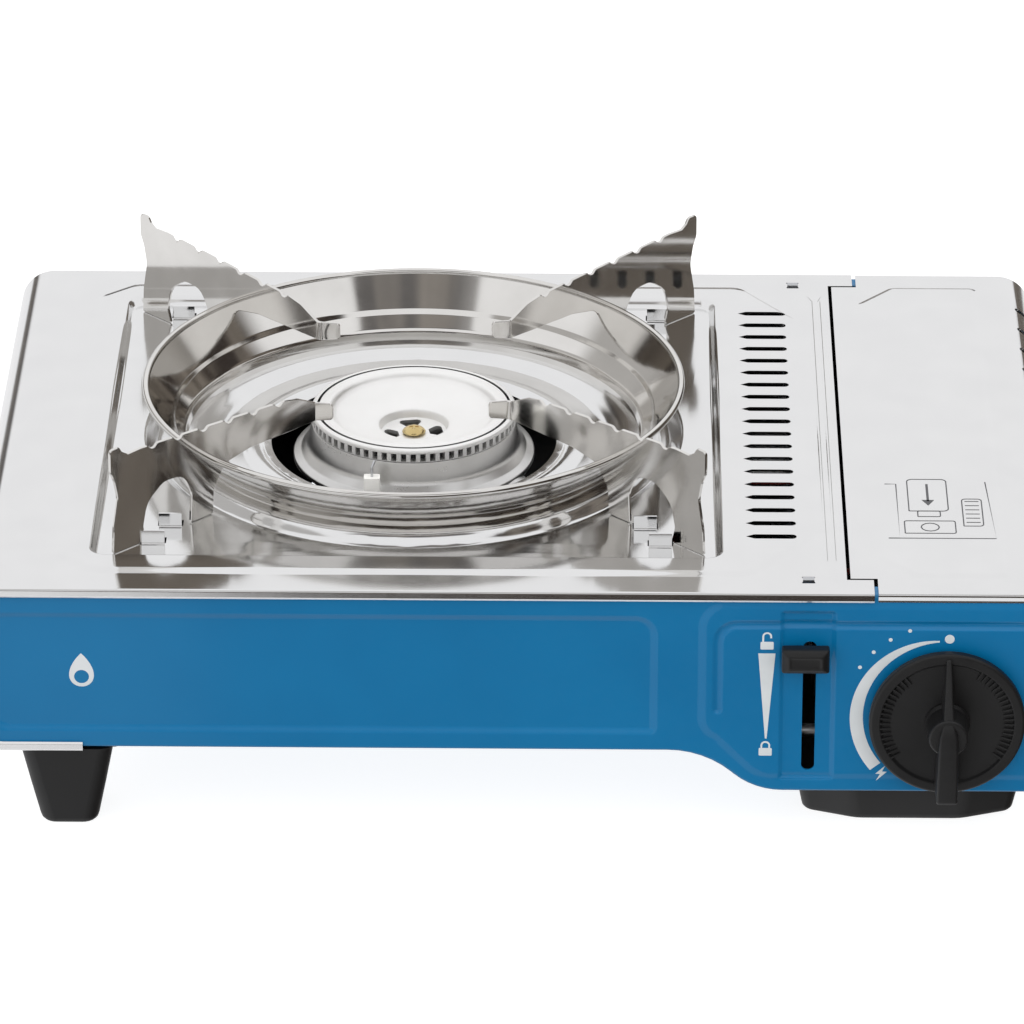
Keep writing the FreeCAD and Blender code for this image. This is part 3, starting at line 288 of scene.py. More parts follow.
class Solid:
    """Vertices and faces gathered from several closed islands."""

    def __init__(self):
        self.verts, self.faces, self.kinds = [], [], []

    def add(self, verts, faces, kind=0):
        first = len(self.verts)
        self.verts += [Vector(v) for v in verts]
        self.faces += [tuple(first + i for i in face) for face in faces]
        self.kinds += [kind] * len(faces)
        return self

    def sheet(self, verts, faces, inner):
        """Adds a thickened sheet whose underside has a kind of its own."""
        first, count = len(self.kinds), len(faces)
        self.add(*thicken(verts, faces, SHEET))
        self.kinds[first + count:first + 2 * count] = [inner] * count
        return self

    def turned(self, profile, count, kind=0):
        """Adds a solid turned round the burner's axis."""
        return self.add(*lathe(profile, (BX, BY, 0), count=count), kind=kind)

    def moved(self, matrix):
        self.verts = [matrix @ v for v in self.verts]
        return self

    def join(self, other):
        first = len(self.verts)
        self.verts += other.verts
        self.faces += [tuple(first + i for i in face) for face in other.faces]
        self.kinds += other.kinds
        return self


def triangulate(edge, holes=(), loops=(), lines=()):
    """Triangles that fill an outline less its holes, with every loop and line among their edges."""
    points, edges = [], []
    for line, closed in [(edge, True)] + [(h, True) for h in holes] + [(g, True) for g in loops] \
            + [(g, False) for g in lines]:
        first, count = len(points), len(line)
        points += [Vector(p) for p in line]
        edges += [(first + i, first + i + 1) for i in range(count - 1)]
        if closed:
            edges.append((first + count - 1, first))
    flat, _, faces, _, _, _ = delaunay_2d_cdt(points, edges, [], 0, 1e-4)
    flat = np.array([tuple(p) for p in flat])
    faces = np.array([tuple(f) for f in faces if len(f) == 3])
    middles = flat[faces].mean(axis=1)
    keep = inside(middles, edge)
    for hole in holes:
        keep &= ~inside(middles, hole)
    faces = faces[keep]
    a, b, c = flat[faces[:, 0]], flat[faces[:, 1]], flat[faces[:, 2]]
    area = (b[:, 0] - a[:, 0]) * (c[:, 1] - a[:, 1]) - (b[:, 1] - a[:, 1]) * (c[:, 0] - a[:, 0])
    faces = faces[np.abs(area) > 1e-7]
    used = np.unique(faces)
    renumber = np.full(len(flat), -1)
    renumber[used] = np.arange(len(used))
    return flat[used], renumber[faces]


def thicken(verts, faces, thickness, edge_round=0.0):
    """Closed shell from an open surface: the surface, its underside, and a rim along its free edges."""
    v, f = np.array([tuple(p) for p in verts]), np.asarray(faces)
    face_normals = np.cross(v[f[:, 1]] - v[f[:, 0]], v[f[:, 2]] - v[f[:, 0]])
    normals = np.zeros_like(v)
    for k in range(3):
        np.add.at(normals, f[:, k], face_normals)
    normals /= np.maximum(np.linalg.norm(normals, axis=1, keepdims=True), 1e-12)
    under = v - normals * thickness
    count = len(v)
    made = [tuple(t) for t in f.tolist()] + [tuple(count + i for i in reversed(t)) for t in f.tolist()]
    heads = {}
    for a, b, c in f.tolist():
        for edge in ((a, b), (b, c), (c, a)):
            heads[edge] = heads.get(edge, 0) + 1
    free = [edge for edge in heads if (edge[1], edge[0]) not in heads]
    points = [v, under]
    if edge_round <= 0:
        made += [(b, a, count + a, count + b) for a, b in free]
        return np.vstack(points), made
    outward = {}
    for a, b in free:
        side = np.cross(v[b] - v[a], normals[a] + normals[b])
        side /= max(np.linalg.norm(side), 1e-12)
        for i in (a, b):
            outward[i] = outward.get(i, 0) + side
    rim = sorted(outward)
    place = {i: k for k, i in enumerate(rim)}
    out = np.array([outward[i] / max(np.linalg.norm(outward[i]), 1e-12) for i in rim])
    upper = v[rim] + out * edge_round - normals[rim] * edge_round
    lower = v[rim] + out * edge_round - normals[rim] * (thickness - edge_round)
    first, second = 2 * count, 2 * count + len(rim)
    points += [upper, lower]
    for a, b in free:
        ka, kb = place[a], place[b]
        made += [(b, a, first + ka, first + kb), (first + kb, first + ka, second + ka, second + kb),
                 (second + kb, second + ka, count + a, count + b)]
    return np.vstack(points), made


def lathe(profile, centre=(0.0, 0.0, 0.0), axis="z", count=128):
    """Closed solid turned from a closed (radius, height) profile; points at radius 0 become poles."""
    verts, rows = [], []
    for radius, height in profile:
        if radius < 1e-6:
            rows.append([len(verts)] * count)
            verts.append(Vector((0, 0, height)))
            continue
        rows.append(list(range(len(verts), len(verts) + count)))
        for i in range(count):
            verts.append(Vector((*polar(0, 0, radius, 2 * math.pi * i / count), height)))
    faces = []
    for row, above in zip(rows, rows[1:] + rows[:1]):
        for i in range(count):
            j = (i + 1) % count
            face = tuple(dict.fromkeys((row[i], row[j], above[j], above[i])))
            if len(face) > 2:
                faces.append(face)
    turn = Matrix.Rotation(math.pi / 2, 3, "X") if axis == "y" else Matrix.Identity(3)
    return [turn @ v + Vector(centre) for v in verts], faces


def fillet(corners, arc_step=15.0):
    """Closed (radius, height) profile through rounded corners."""
    return outline(corners, arc_step)


def band(path, thickness):
    """Closed outline of a strip of even thickness along an open path."""
    left, right = path.beside(thickness / 2), path.beside(-thickness / 2)
    return [tuple(p) for p in left + right[::-1]]


def strips(rows, count):
    """Faces between each row of points and the next, round closed loops of `count` points."""
    faces = []
    for low in range(0, (rows - 1) * count, count):
        high = low + count
        faces += [(low + i, low + (i + 1) % count, high + (i + 1) % count, high + i) for i in range(count)]
    return faces


def extrude(loop, low, high, axis="y", edge_round=0.0):
    """Straight bar from a closed outline between two levels, its end edges rounded off."""
    edge = np.array(loop, float)
    following, before = np.roll(edge, -1, axis=0), np.roll(edge, 1, axis=0)
    tangent = following - before
    normal = np.stack([tangent[:, 1], -tangent[:, 0]], axis=1)
    normal /= np.maximum(np.linalg.norm(normal, axis=1, keepdims=True), 1e-9)
    area = np.sum(edge[:, 0] * following[:, 1] - following[:, 0] * edge[:, 1])
    normal *= math.copysign(1.0, area)
    r = edge_round
    levels = [(low, 0.0), (high, 0.0)]
    if r > 0:
        levels = [(low, r), (low + 0.3 * r, 0.3 * r), (low + r, 0.0),
                  (high - r, 0.0), (high - 0.3 * r, 0.3 * r), (high, r)]
    verts, count = [], len(edge)
    for level, back in levels:
        for p, n in zip(edge, normal):
            a, b = p - n * back
            verts.append(Vector((a, level, b)) if axis == "y" else
                         Vector((level, a, b)) if axis == "x" else Vector((a, b, level)))
    faces = strips(len(levels), count)
    caps = tessellate_polygon([[Vector((*(p - n * r), 0.0)) for p, n in zip(edge, normal)]])
    top = (len(levels) - 1) * count
    faces += [tuple(reversed(t)) for t in caps]
    faces += [tuple(top + i for i in t) for t in caps]
    return verts, faces


def loft(loops):
    """Closed solid through loops of equal length, with one face over each end."""
    count = len(loops[0])
    verts = [Vector(p) for loop in loops for p in loop]
    faces = strips(len(loops), count)
    faces.append(tuple(reversed(range(count))))
    faces.append(tuple(range(len(verts) - count, len(verts))))
    return verts, faces


def piece(name, solid, body, materials, replaces, crease=38.0):
    """Blender object from a Solid, with outward faces, smooth shading and face-weighted normals."""
    mesh = bpy.data.meshes.new(name)
    mesh.from_pydata([tuple(v * MM) for v in solid.verts], [], solid.faces)
    for material in materials:
        mesh.materials.append(material)
    mesh.polygons.foreach_set("material_index", solid.kinds)
    mesh.validate()
    obj = bpy.data.objects.new(name, mesh)
    bpy.context.scene.collection.objects.link(obj)
    built = bmesh.new()
    built.from_mesh(mesh)
    bmesh.ops.recalc_face_normals(built, faces=built.faces)
    built.to_mesh(mesh)
    built.free()
    mesh.shade_smooth()
    mesh.set_sharp_from_angle(angle=math.radians(crease))
    weighted = obj.modifiers.new("weighted", "WEIGHTED_NORMAL")
    weighted.mode = "FACE_AREA"
    weighted.keep_sharp = True
    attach(obj, body)
    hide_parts(*replaces)


# ---- materials -----------------------------------------------------------------------------------------
def nodes_of(name):
    material = bpy.data.materials.new(name)
    material.use_nodes = True
    tree = material.node_tree
    shader = tree.nodes["Principled BSDF"]
    return material, tree, shader


def noise(tree, scale, detail=4.0, stretch=(1.0, 1.0, 1.0)):
    where = tree.nodes.new("ShaderNodeTexCoord")
    mapping = tree.nodes.new("ShaderNodeMapping")
    mapping.inputs["Scale"].default_value = stretch
    texture = tree.nodes.new("ShaderNodeTexNoise")
    texture.inputs["Scale"].default_value = scale
    texture.inputs["Detail"].default_value = detail
    tree.links.new(where.outputs["Object"], mapping.inputs["Vector"])
    tree.links.new(mapping.outputs["Vector"], texture.inputs["Vector"])
    return texture.outputs["Fac"]


def spread(tree, value, low, high, low_in=0.3, high_in=0.7):
    """Maps a texture value onto a range."""
    node = tree.nodes.new("ShaderNodeMapRange")
    node.inputs["From Min"].default_value = low_in
    node.inputs["From Max"].default_value = high_in
    node.inputs["To Min"].default_value = low
    node.inputs["To Max"].default_value = high
    tree.links.new(value, node.inputs["Value"])
    return node.outputs["Result"]


def tint(tree, value, dark, light):
    node = tree.nodes.new("ShaderNodeMix")
    node.data_type = "RGBA"
    node.inputs[6].default_value = (*dark, 1)
    node.inputs[7].default_value = (*light, 1)
    tree.links.new(value, node.inputs[0])
    return node.outputs[2]


def bump(tree, shader, value, depth_mm, strength=1.0, before=None):
    node = tree.nodes.new("ShaderNodeBump")
    node.inputs["Strength"].default_value = strength
    node.inputs["Distance"].default_value = depth_mm * MM
    tree.links.new(value, node.inputs["Height"])
    if before is not None:
        tree.links.new(before, node.inputs["Normal"])
    tree.links.new(node.outputs["Normal"], shader.inputs["Normal"])
    return node.outputs["Normal"]


def metal(name, dark, light, rough, grain=(1, 1, 1), grain_scale=900, wave=0.0, scratch=0.0):
    """Bare metal: slight colour and roughness variation, a fine grain, and the waviness of thin sheet."""
    material, tree, shader = nodes_of(name)
    shader.inputs["Metallic"].default_value = 1.0
    mottling = noise(tree, 55, 5)
    tree.links.new(tint(tree, spread(tree, mottling, 0, 1), dark, light), shader.inputs["Base Color"])
    smear = noise(tree, grain_scale, 3, grain)
    rough_mix = tree.nodes.new("ShaderNodeMath")
    rough_mix.operation = "ADD"
    tree.links.new(spread(tree, mottling, rough[0] * 0.6, rough[1] * 0.6), rough_mix.inputs[0])
    tree.links.new(spread(tree, smear, rough[0] * 0.4, rough[1] * 0.4), rough_mix.inputs[1])
    tree.links.new(rough_mix.outputs["Value"], shader.inputs["Roughness"])
    normal = None
    if wave:
        normal = bump(tree, shader, noise(tree, 26, 1.0), wave)
    if scratch:
        bump(tree, shader, smear, scratch, before=normal)
    return material


def painted(name, colour, deep):
    """Gloss paint over steel: faint orange peel, a little depth variation, and a clear top coat."""
    material, tree, shader = nodes_of(name)
    cloud = noise(tree, 20, 3)
    tree.links.new(tint(tree, spread(tree, cloud, 0, 1), deep, colour), shader.inputs["Base Color"])
    tree.links.new(spread(tree, noise(tree, 400, 2), 0.30, 0.40), shader.inputs["Roughness"])
    shader.inputs["Specular IOR Level"].default_value = 0.3
    shader.inputs["Coat Weight"].default_value = 0.25
    shader.inputs["Coat Roughness"].default_value = 0.07
    bump(tree, shader, noise(tree, 700, 1.5), 0.012, 0.5)
    return material


def plastic(name, colour, light, rough=(0.38, 0.5), grain=0.02):
    """Moulded plastic with a fine spark-eroded texture."""
    material, tree, shader = nodes_of(name)
    cloud = noise(tree, 90, 4)
    tree.links.new(tint(tree, spread(tree, cloud, 0, 1), colour, light), shader.inputs["Base Color"])
    tree.links.new(spread(tree, cloud, *rough), shader.inputs["Roughness"])
    bump(tree, shader, noise(tree, 2600, 2), grain, 0.6)
    return material


STAINLESS = metal("stainless", (0.80, 0.80, 0.80), (0.825, 0.825, 0.823), (0.10, 0.125), (1, 14, 1), 260,
                  scratch=0.001)
BRIGHT = metal("bright_steel", (0.72, 0.705, 0.68), (0.80, 0.785, 0.76), (0.05, 0.11), (1, 1, 6), 260,
               wave=0.08, scratch=0.001)
ZINC = metal("zinc_steel", (0.50, 0.51, 0.53), (0.66, 0.67, 0.68), (0.26, 0.42))
YELLOW_ZINC = metal("yellow_zinc", (0.62, 0.46, 0.20), (0.86, 0.74, 0.42), (0.2, 0.32))
CAST = metal("cast_aluminium", (0.62, 0.615, 0.605), (0.74, 0.735, 0.725), (0.26, 0.36),
             grain_scale=1400, scratch=0.01)
CAP_ALUMINIUM = metal("cap_aluminium", (0.93, 0.925, 0.91), (0.97, 0.965, 0.955), (0.46, 0.54),
                      grain_scale=1400, scratch=0.01)
SHEET_ALUMINIUM = metal("sheet_aluminium", (0.74, 0.74, 0.74), (0.84, 0.84, 0.84), (0.22, 0.34),
                        (1, 10, 1), 300)
BRASS = metal("brass", (0.62, 0.44, 0.17), (0.80, 0.62, 0.30), (0.18, 0.30))
BLUE = painted("blue_paint", (0.002, 0.185, 0.420), (0.001, 0.165, 0.385))
BLACK = plastic("black_plastic", (0.004, 0.004, 0.0045), (0.007, 0.007, 0.0075), (0.46, 0.56))
# Painted shade: near-black for the plate's underside, the shell's inside and a band behind the flame ports,
# where those hollows lie in shade.
PAINTED_SHADE = plastic("painted_shade_dark", (0.010, 0.010, 0.010), (0.016, 0.016, 0.016), (0.6, 0.75))
RUBBER = plastic("black_rubber", (0.012, 0.012, 0.012), (0.020, 0.020, 0.020), (0.6, 0.75))
CERAMIC = plastic("white_ceramic", (0.80, 0.79, 0.75), (0.90, 0.89, 0.86), (0.25, 0.35), 0.005)
SILICONE = plastic("red_silicone", (0.36, 0.03, 0.02), (0.48, 0.06, 0.04), (0.4, 0.5), 0.005)
PRINT = plastic("white_print", (0.72, 0.76, 0.78), (0.80, 0.83, 0.85), (0.4, 0.5), 0.002)
INK = plastic("dark_print", (0.05, 0.05, 0.055), (0.08, 0.08, 0.085), (0.4, 0.5), 0.002)

BY_SLOT = {
    "stainless": STAINLESS, "bright_steel": BRIGHT, "zinc_steel": ZINC, "yellow_zinc": YELLOW_ZINC,
    "cast_aluminium": CAST, "sheet_aluminium": SHEET_ALUMINIUM, "brass": BRASS, "blue_paint": BLUE,
    "black_plastic": BLACK, "black_rubber": RUBBER, "white_ceramic": CERAMIC, "red_silicone": SILICONE,
}


def dress_cad_nodes():
    """Every CAD node takes the material of its slot, whether or not a built piece stands for it."""
    for row in frame["record"]["subparts"]:
        obj = frame["nodes"][row["node"]]
        obj.data.materials.clear()
        obj.data.materials.append(BY_SLOT[row["material_slot"]])


# ---- pressed sheet along a profile ---------------------------------------------------------------------
def bent_sheet(edge, holes, presses, across, along, extra_height=None, loops=(), inner=0):
    """Sheet drawn flat in (distance along `across`, distance along `along`), pressed, and bent on both paths.

    `across` runs through X and Z; `along` runs through Y and depth, which is how its lips turn down."""
    solid = Solid()
    (s0, t0), (s1, t1) = np.min(edge, axis=0) - 1, np.max(edge, axis=0) + 1
    guides = [g for p in presses for g in p.guides()] + list(loops)
    grid = [[(s, t0), (s, t1)] for s in across.stops() if s0 < s < s1]
    grid += [[(s0, t), (s1, t)] for t in along.stops() if t0 < t < t1]
    flat, faces = triangulate(edge, holes, guides, grid)
    height = np.zeros(len(flat))
    for p in presses:
        height += p.height(flat)
    if extra_height is not None:
        height += extra_height(flat)
    verts = []
    for (s, t), h in zip(flat, height):
        (x, z), (nx, nz) = across.at(s)
        (y, depth), (my, md) = along.at(t)
        out = h * md - (depth if abs(depth) > 1e-9 else 0.0)
        verts.append((x + nx * out, y + my * h, z + nz * out))
    return solid.sheet(verts, faces, inner)


def lips(radius, undercut, turn_in):
    """Path along Y whose two ends turn down, measured so that over the flat its length is Y."""
    front = [(FRONT + undercut + turn_in, -LIP, 0), (FRONT + undercut, -LIP + 0.8, 0.4), (FRONT, 0, radius)]
    rear = [(REAR + FRONT - a, b, r) for a, b, r in reversed(front)]
    path = Path(front + rear, arc_step=12)
    path.shift = (FRONT + REAR - path.length) / 2
    return path


class Downward:
    """Turns a lip path's negative heights into depths below the sheet."""

    def __init__(self, path):
        self.path = path

    def at(self, t):
        (y, below), normal = self.path.at(t)
        return Vector((y, -below)), normal

    def stops(self):
        return self.path.stops()

    def ends(self):
        return self.path.shift, self.path.shift + self.path.length


PLATE_LIPS = Downward(lips(1.0, 0.0, 0.5))
LID_LIPS = Downward(lips(1.1, 0.9, 0.1))


def dish_height(points):
    """Depth of the round dish and its stepped rings below the border, by distance from the burner's axis."""
    steps = [
        (0.0, -6.2), (54.6, -6.2), (56.2, -5.4), (58.4, -5.2), (60.6, -5.4), (62.4, -6.3), (70.2, -6.3),
        (71.6, -5.6), (73.6, -5.2), (76.4, -4.3), (79.0, -3.9), (84.0, -3.6), (87.0, -2.5), (87.8, -2.5),
        (89.8, -6.6), (93.0, -6.4), (98.7, -RECESS_DROP), (500.0, -RECESS_DROP),
    ]
    radius = np.hypot(points[:, 0] - BX, points[:, 1] - BY)
    places, heights = zip(*steps)
    nearby = [np.interp(radius + shift, places, heights) for shift in (-0.5, -0.25, 0.0, 0.25, 0.5)]
    return np.mean(nearby, axis=0) + RECESS_DROP


DISH_RADII = [54.6 + 0.7 * i for i in range(64)]
RECESS = rect(BX - 112.0, BX + 112.0, BY - 111.0, BY + 112.0, 7.0)
PLATEAU = [
    (-149.0, MID_Y - 124.5, 9.0), (83.0, MID_Y - 124.5, 9.0), (104.6, MID_Y - 94.0, 9.0),
    (104.6, MID_Y + 94.0, 9.0), (83.0, MID_Y + 124.5, 9.0), (-149.0, MID_Y + 124.5, 9.0),
    (-163.0, MID_Y + 112.0, 9.0), (-163.0, MID_Y - 112.0, 9.0),
]
LUG_PLACES = [(BX + sx * a, BY + sy * b) for sx in (-1, 1) for sy in (-1, 1)
              for a, b in ((89.5, 96.5), (84.2, 82.6))]


def vent_slot(x0, x1, y, width):
    """Louvre slot with a pointed left end and a round right end."""
    half = width / 2
    tip = [(x0, y), (x0 + 1.3, y - half * 0.45), (x0 + 3.0, y - half)]
    end = circle(x1 - half, y, half, 8, -math.pi / 2, math.pi)
    return tip + end + [(x0 + 3.0, y + half), (x0 + 1.3, y + half * 0.45)]


def top_plate():
    across = Path([
        (WRAP_END, WRAP_UNDER, 0), (LEFT, WRAP_UNDER, WRAP_R), (LEFT, TOP, WRAP_R), (EAR_RIGHT, TOP, 0),
    ])
    across.shift = EAR_RIGHT - across.length
    s0 = across.shift
    lip_front, lip_rear = PLATE_LIPS.ends()
    edge = [
        (s0, lip_front), (EAR_RIGHT, lip_front), (EAR_RIGHT, FRONT + EAR_DEPTH),
        (PLATE_RIGHT, FRONT + EAR_DEPTH), (PLATE_RIGHT, REAR - EAR_DEPTH), (EAR_RIGHT, REAR - EAR_DEPTH),
        (EAR_RIGHT, lip_rear), (s0, lip_rear),
    ]
    holes = [circle(BX, BY, DISH_HOLE_R)]
    for i in range(VENT_COUNT):
        y = MID_Y + 2.5 + VENT_PITCH * (i - VENT_COUNT // 2)
        holes.append(vent_slot(80.7, 98.6, y, VENT_WIDTH))
    holes += [tab_hole(102.0, y) for y in (FRONT + 10.9, REAR - 10.9)]
    for x, y in LUG_PLACES:
        holes.append([(x - 4.5, y + 0.6), (x + 4.5, y + 0.6), (x + 4.5, y + 5.2), (x - 4.5, y + 5.2)])
    presses = [Press(PLATEAU, PLATEAU_RISE, 4.5), Press(RECESS, -PLATEAU_RISE - RECESS_DROP, 3.6)]
    beads = [Groove([(x, FRONT + 26, 0), (x, REAR - 26, 0)], 0.35, 1.6) for x in (108.6, 111.6)]
    rings = [circle(BX, BY, r) for r in DISH_RADII]
    # The plate's underside takes the painted-shade black, so the dish's gap and the vents read dark like the
    # shade below them.
    solid = bent_sheet(edge, holes, presses + beads, across, PLATE_LIPS, dish_height, rings, inner=1)
    for x, y in LUG_PLACES:
        solid.add(*lug(x, y))
    piece("plate", solid, "stove_body", [STAINLESS, PAINTED_SHADE], ["top_plate"])


def tab_hole(x, y):
    return outline([
        (x - 2.5, y - 2.6, 0.4), (x + 2.5, y - 2.6, 0.4), (x + 1.6, y, 0.6), (x + 2.5, y + 2.6, 0.4),
        (x - 2.5, y + 2.6, 0.4), (x - 1.6, y, 0.6),
    ], 30)


def lug(x, y):
    """Tongue bent up out of the plate, rooted in a small bend."""
    low, high = RECESS_Z - 0.4, RECESS_Z + 5.2
    loop = band(Path([(y - 1.4, low, 0), (y + 0.2, low, 1.0), (y + 0.2, high, 0)], arc_step=22), SHEET)
    return extrude(loop, x - 4.1, x + 4.1, "x", 0.12)


# ---- cartridge lid -------------------------------------------------------------------------------------
LID_RISE = 0.8
LID_PLATEAU = [
    (139.0, MID_Y - 124.5, 4.0), (172.5, MID_Y - 124.5, 4.0), (172.5, MID_Y + 124.5, 4.0),
    (139.0, MID_Y + 124.5, 4.0), (125.5, MID_Y + 109.0, 4.0), (125.5, MID_Y - 109.0, 4.0),
]


def cartridge_lid():
    across = Path([(LID_LEFT, TOP, 0), (RIGHT, TOP, WRAP_R), (RIGHT, LID_WALL_END, 0)], shift=LID_LEFT)
    end = LID_LEFT + across.length
    notch_x, notch = EAR_RIGHT + 1.4, EAR_DEPTH + 1.0
    lip_front, lip_rear = LID_LIPS.ends()
    edge = [
        (LID_LEFT, FRONT + notch), (notch_x, FRONT + notch), (notch_x, lip_front), (end, lip_front),
        (end, lip_rear), (notch_x, lip_rear), (notch_x, REAR - notch), (LID_LEFT, REAR - notch),
    ]
    holes = []
    for i in range(12):
        y = MID_Y + 9.3 + 18.0 * (i - 5.5)
        holes.append(outline(rect(186.0, 220.0, y - 1.6, y + 1.6, 1.5), 30))
    presses = [Press(LID_PLATEAU, LID_RISE, 3.0)]
    solid = bent_sheet(edge, holes, presses, across, LID_LIPS)
    for y0, y1 in LID_KNUCKLES:
        solid.add(*lid_knuckle(y0, y1))
    solid.join(lid_pictogram())
    piece("lid_cover", solid, "lid", [STAINLESS, INK], ["cartridge_lid"])


def lid_knuckle(y0, y1):
    """Strap from the lid's wall, curled round the hinge pin."""
    strap = Path([(RIGHT - SHEET / 2, LID_WALL_END + 1.5, 0), (RIGHT - SHEET / 2, HINGE_Z - 0.1, 0.8),
                  (HINGE_X + 2.0, HINGE_Z - 0.1, 0)], arc_step=20).points()
    curl = circle(HINGE_X, HINGE_Z, KNUCKLE_R - SHEET / 2, 20, 0.0, -2 * math.pi * 0.93)
    run = [tuple(p) for p in strap[:-1]] + curl
    loop = []
    count = len(run)
    for side in (1, -1):
        for i in range(count)[::side]:
            ahead, back = Vector(run[min(i + 1, count - 1)]), Vector(run[max(i - 1, 0)])
            d = (ahead - back).normalized()
            loop.append((run[i][0] - d.y * side * SHEET / 2, run[i][1] + d.x * side * SHEET / 2))
    return extrude(loop, y0, y1)


def printed(loops, place, holes=()):
    """Flat printed shapes, a hair proud of the surface they are printed on."""
    solid = Solid()
    for loop in loops:
        flat, faces = triangulate(loop, holes)
        verts = [place(a, b, PRINT_THICKNESS) for a, b in flat]
        solid.add(*thicken(verts, faces, PRINT_THICKNESS), kind=1)
    return solid


def stroke(corners, width):
    """Outline of a drawn line."""
    return band(Path(corners), width)


def lid_pictogram():
    """Plain drawing of a small stove from above: cartridge, inlet, lever, knob, and the lid's open side."""
    x, y, width = 149.0, MID_Y - 74.0, 0.45
    boxes = [
        rect(x - 10.0, x + 4.0, y + 2.0, y + 28.0, 2.0), rect(x - 7.0, x + 1.0, y - 2.5, y + 2.0, 0.8),
        rect(x - 12.0, x + 6.0, y - 16.0, y - 6.0, 1.0), rect(x + 9.0, x + 16.0, y - 10.0, y + 12.0, 1.5),
    ]
    drawn = [corners + corners[:1] for corners in boxes]
    drawn += [[(x + 10.0, y - 7.0 + 3.4 * i, 0), (x + 15.0, y - 7.0 + 3.4 * i, 0)] for i in range(6)]
    drawn += [
        [(x - 18.0, y - 20.0, 0), (x - 14.0, y - 20.0, 0), (x - 14.0, y + 24.0, 0), (x - 18.0, y + 24.0, 0)],
        [(x - 18.0, y - 20.0, 0), (x + 20.0, y - 20.0, 0), (x + 18.0, y + 26.0, 0)],
    ]
    loops = [stroke(corners, width) for corners in drawn]
    loops.append(stroke([(x - 3.0, y + 24.0, 0), (x - 3.0, y + 10.0, 0)], 0.9))
    loops.append([(x - 5.2, y + 11.0), (x - 3.0, y + 6.5), (x - 0.8, y + 11.0)])
    dial = circle(x - 3.0, y - 11.0, 3.2, 24)
    loops += [stroke([(*dial[k], 0), (*dial[(k + 2) % 24], 0)], width) for k in range(0, 24, 2)]
    level = TOP + LID_RISE
    return printed(loops, lambda a, b, h: (a, b, level + h))


# ---- body shell ----------------------------------------------------------------------------------------
SHELL_LEFT, SHELL_RIGHT, SHELL_TOP = shell_low.x, shell_high.x, shell_high.z
SHELL_CORNERS = [
    (SHELL_LEFT, LEFT_FLOOR, 12.0), (66.0, LEFT_FLOOR, 34.0), (84.0, RIGHT_FLOOR, 26.0),
    (SHELL_RIGHT, RIGHT_FLOOR, 8.0), (SHELL_RIGHT, SHELL_TOP, 12.0), (SHELL_LEFT, SHELL_TOP, 12.0),
]
EDGE_R = 1.2
RIGHT_RISE = 0.5         # the knob's back stops just short of this field when it is pushed in
LEVER_CHANNEL = rect(SLOT_X - 10.7, SLOT_X + 9.4, 20.8, 88.3, 2.0)
LEFT_EMBOSS = [(-187.0, 38.4, 9.0), (49.8, 38.4, 3.0), (49.8, 85.7, 8.0), (-187.0, 85.7, 9.0)]
RIGHT_EMBOSS = [
    (63.4, 38.6, 10.0), (69.0, 36.8, 16.0), (84.4, 21.2, 14.0), (187.0, 21.2, 5.0),
    (187.0, 91.7, 6.0), (63.4, 91.7, 10.5),
]


def panel_solid(front):
    """Front or rear pressed panel: raised fields, edges rolled back into a flange all round."""
    y_face, outward = (PANEL_Y, -1.0) if front else (REAR_PANEL_Y, 1.0)
    if front:
        presses = [Press(LEFT_EMBOSS, -FIELD_SINK, 3.0), Press(RIGHT_EMBOSS, RIGHT_RISE, 3.4),
                   Press(LEVER_CHANNEL, -1.1, 2.0)]
        beads = [Groove([(70.5, 49.0, 0), (70.5, 82.4, 7.0), (186.0, 82.4, 0)], -0.9, 4.2)]
        slot = rect(SLOT_X - 2.3, SLOT_X + 2.3, 25.0, 75.6, 2.1)
        holes = [outline(slot, 22), circle(KNOB_X, KNOB_Z, 5.0, 32)]
    else:
        presses = [Press(rect(-178.0, 40.0, 42.0, 84.0, 9.0), -0.9, 3.0),
                   Press(rect(92.0, 183.0, 27.0, 84.0, 9.0), 0.9, 3.0)]
        beads = []
        holes = [outline(rect(-60.0 + 14.0 * i, -56.5 + 14.0 * i, 52.0, 74.0, 1.6), 30) for i in range(7)]
    field = outline(inset(SHELL_CORNERS, EDGE_R))
    flat, faces = triangulate(field, holes, [g for p in presses + beads for g in p.guides()])
    height = sum(p.height(flat) for p in presses + beads)
    verts = [Vector((a, y_face + outward * h, b)) for (a, b), h in zip(flat, height)]
    faces = [tuple(f) for f in faces.tolist()]
    bends = [(EDGE_R * (1 - math.sin(k)), EDGE_R * (1 - math.cos(k))) for k in np.linspace(0, math.pi / 2, 5)]
    bends.append((0.0, 7.0))
    index = {tuple(np.round(p, 4)): i for i, p in enumerate(flat)}
    previous = [index[tuple(np.round(p, 4))] for p in field]
    for back, depth in bends[1:]:
        loop = outline(inset(SHELL_CORNERS, back)) if back > 1e-6 else outline(SHELL_CORNERS)
        here = list(range(len(verts), len(verts) + len(loop)))
        verts += [Vector((a, y_face - outward * depth, b)) for a, b in loop]
        for i in range(len(loop)):
            j = (i + 1) % len(loop)
            faces += [(previous[i], here[i], here[j]), (previous[i], here[j], previous[j])]
        previous = here
    if not front:
        faces = [tuple(reversed(f)) for f in faces]
    # The panel's inner face takes kind 2, the painted-shade black standing in for the shade inside the body.
    return Solid().sheet(verts, faces, 2)


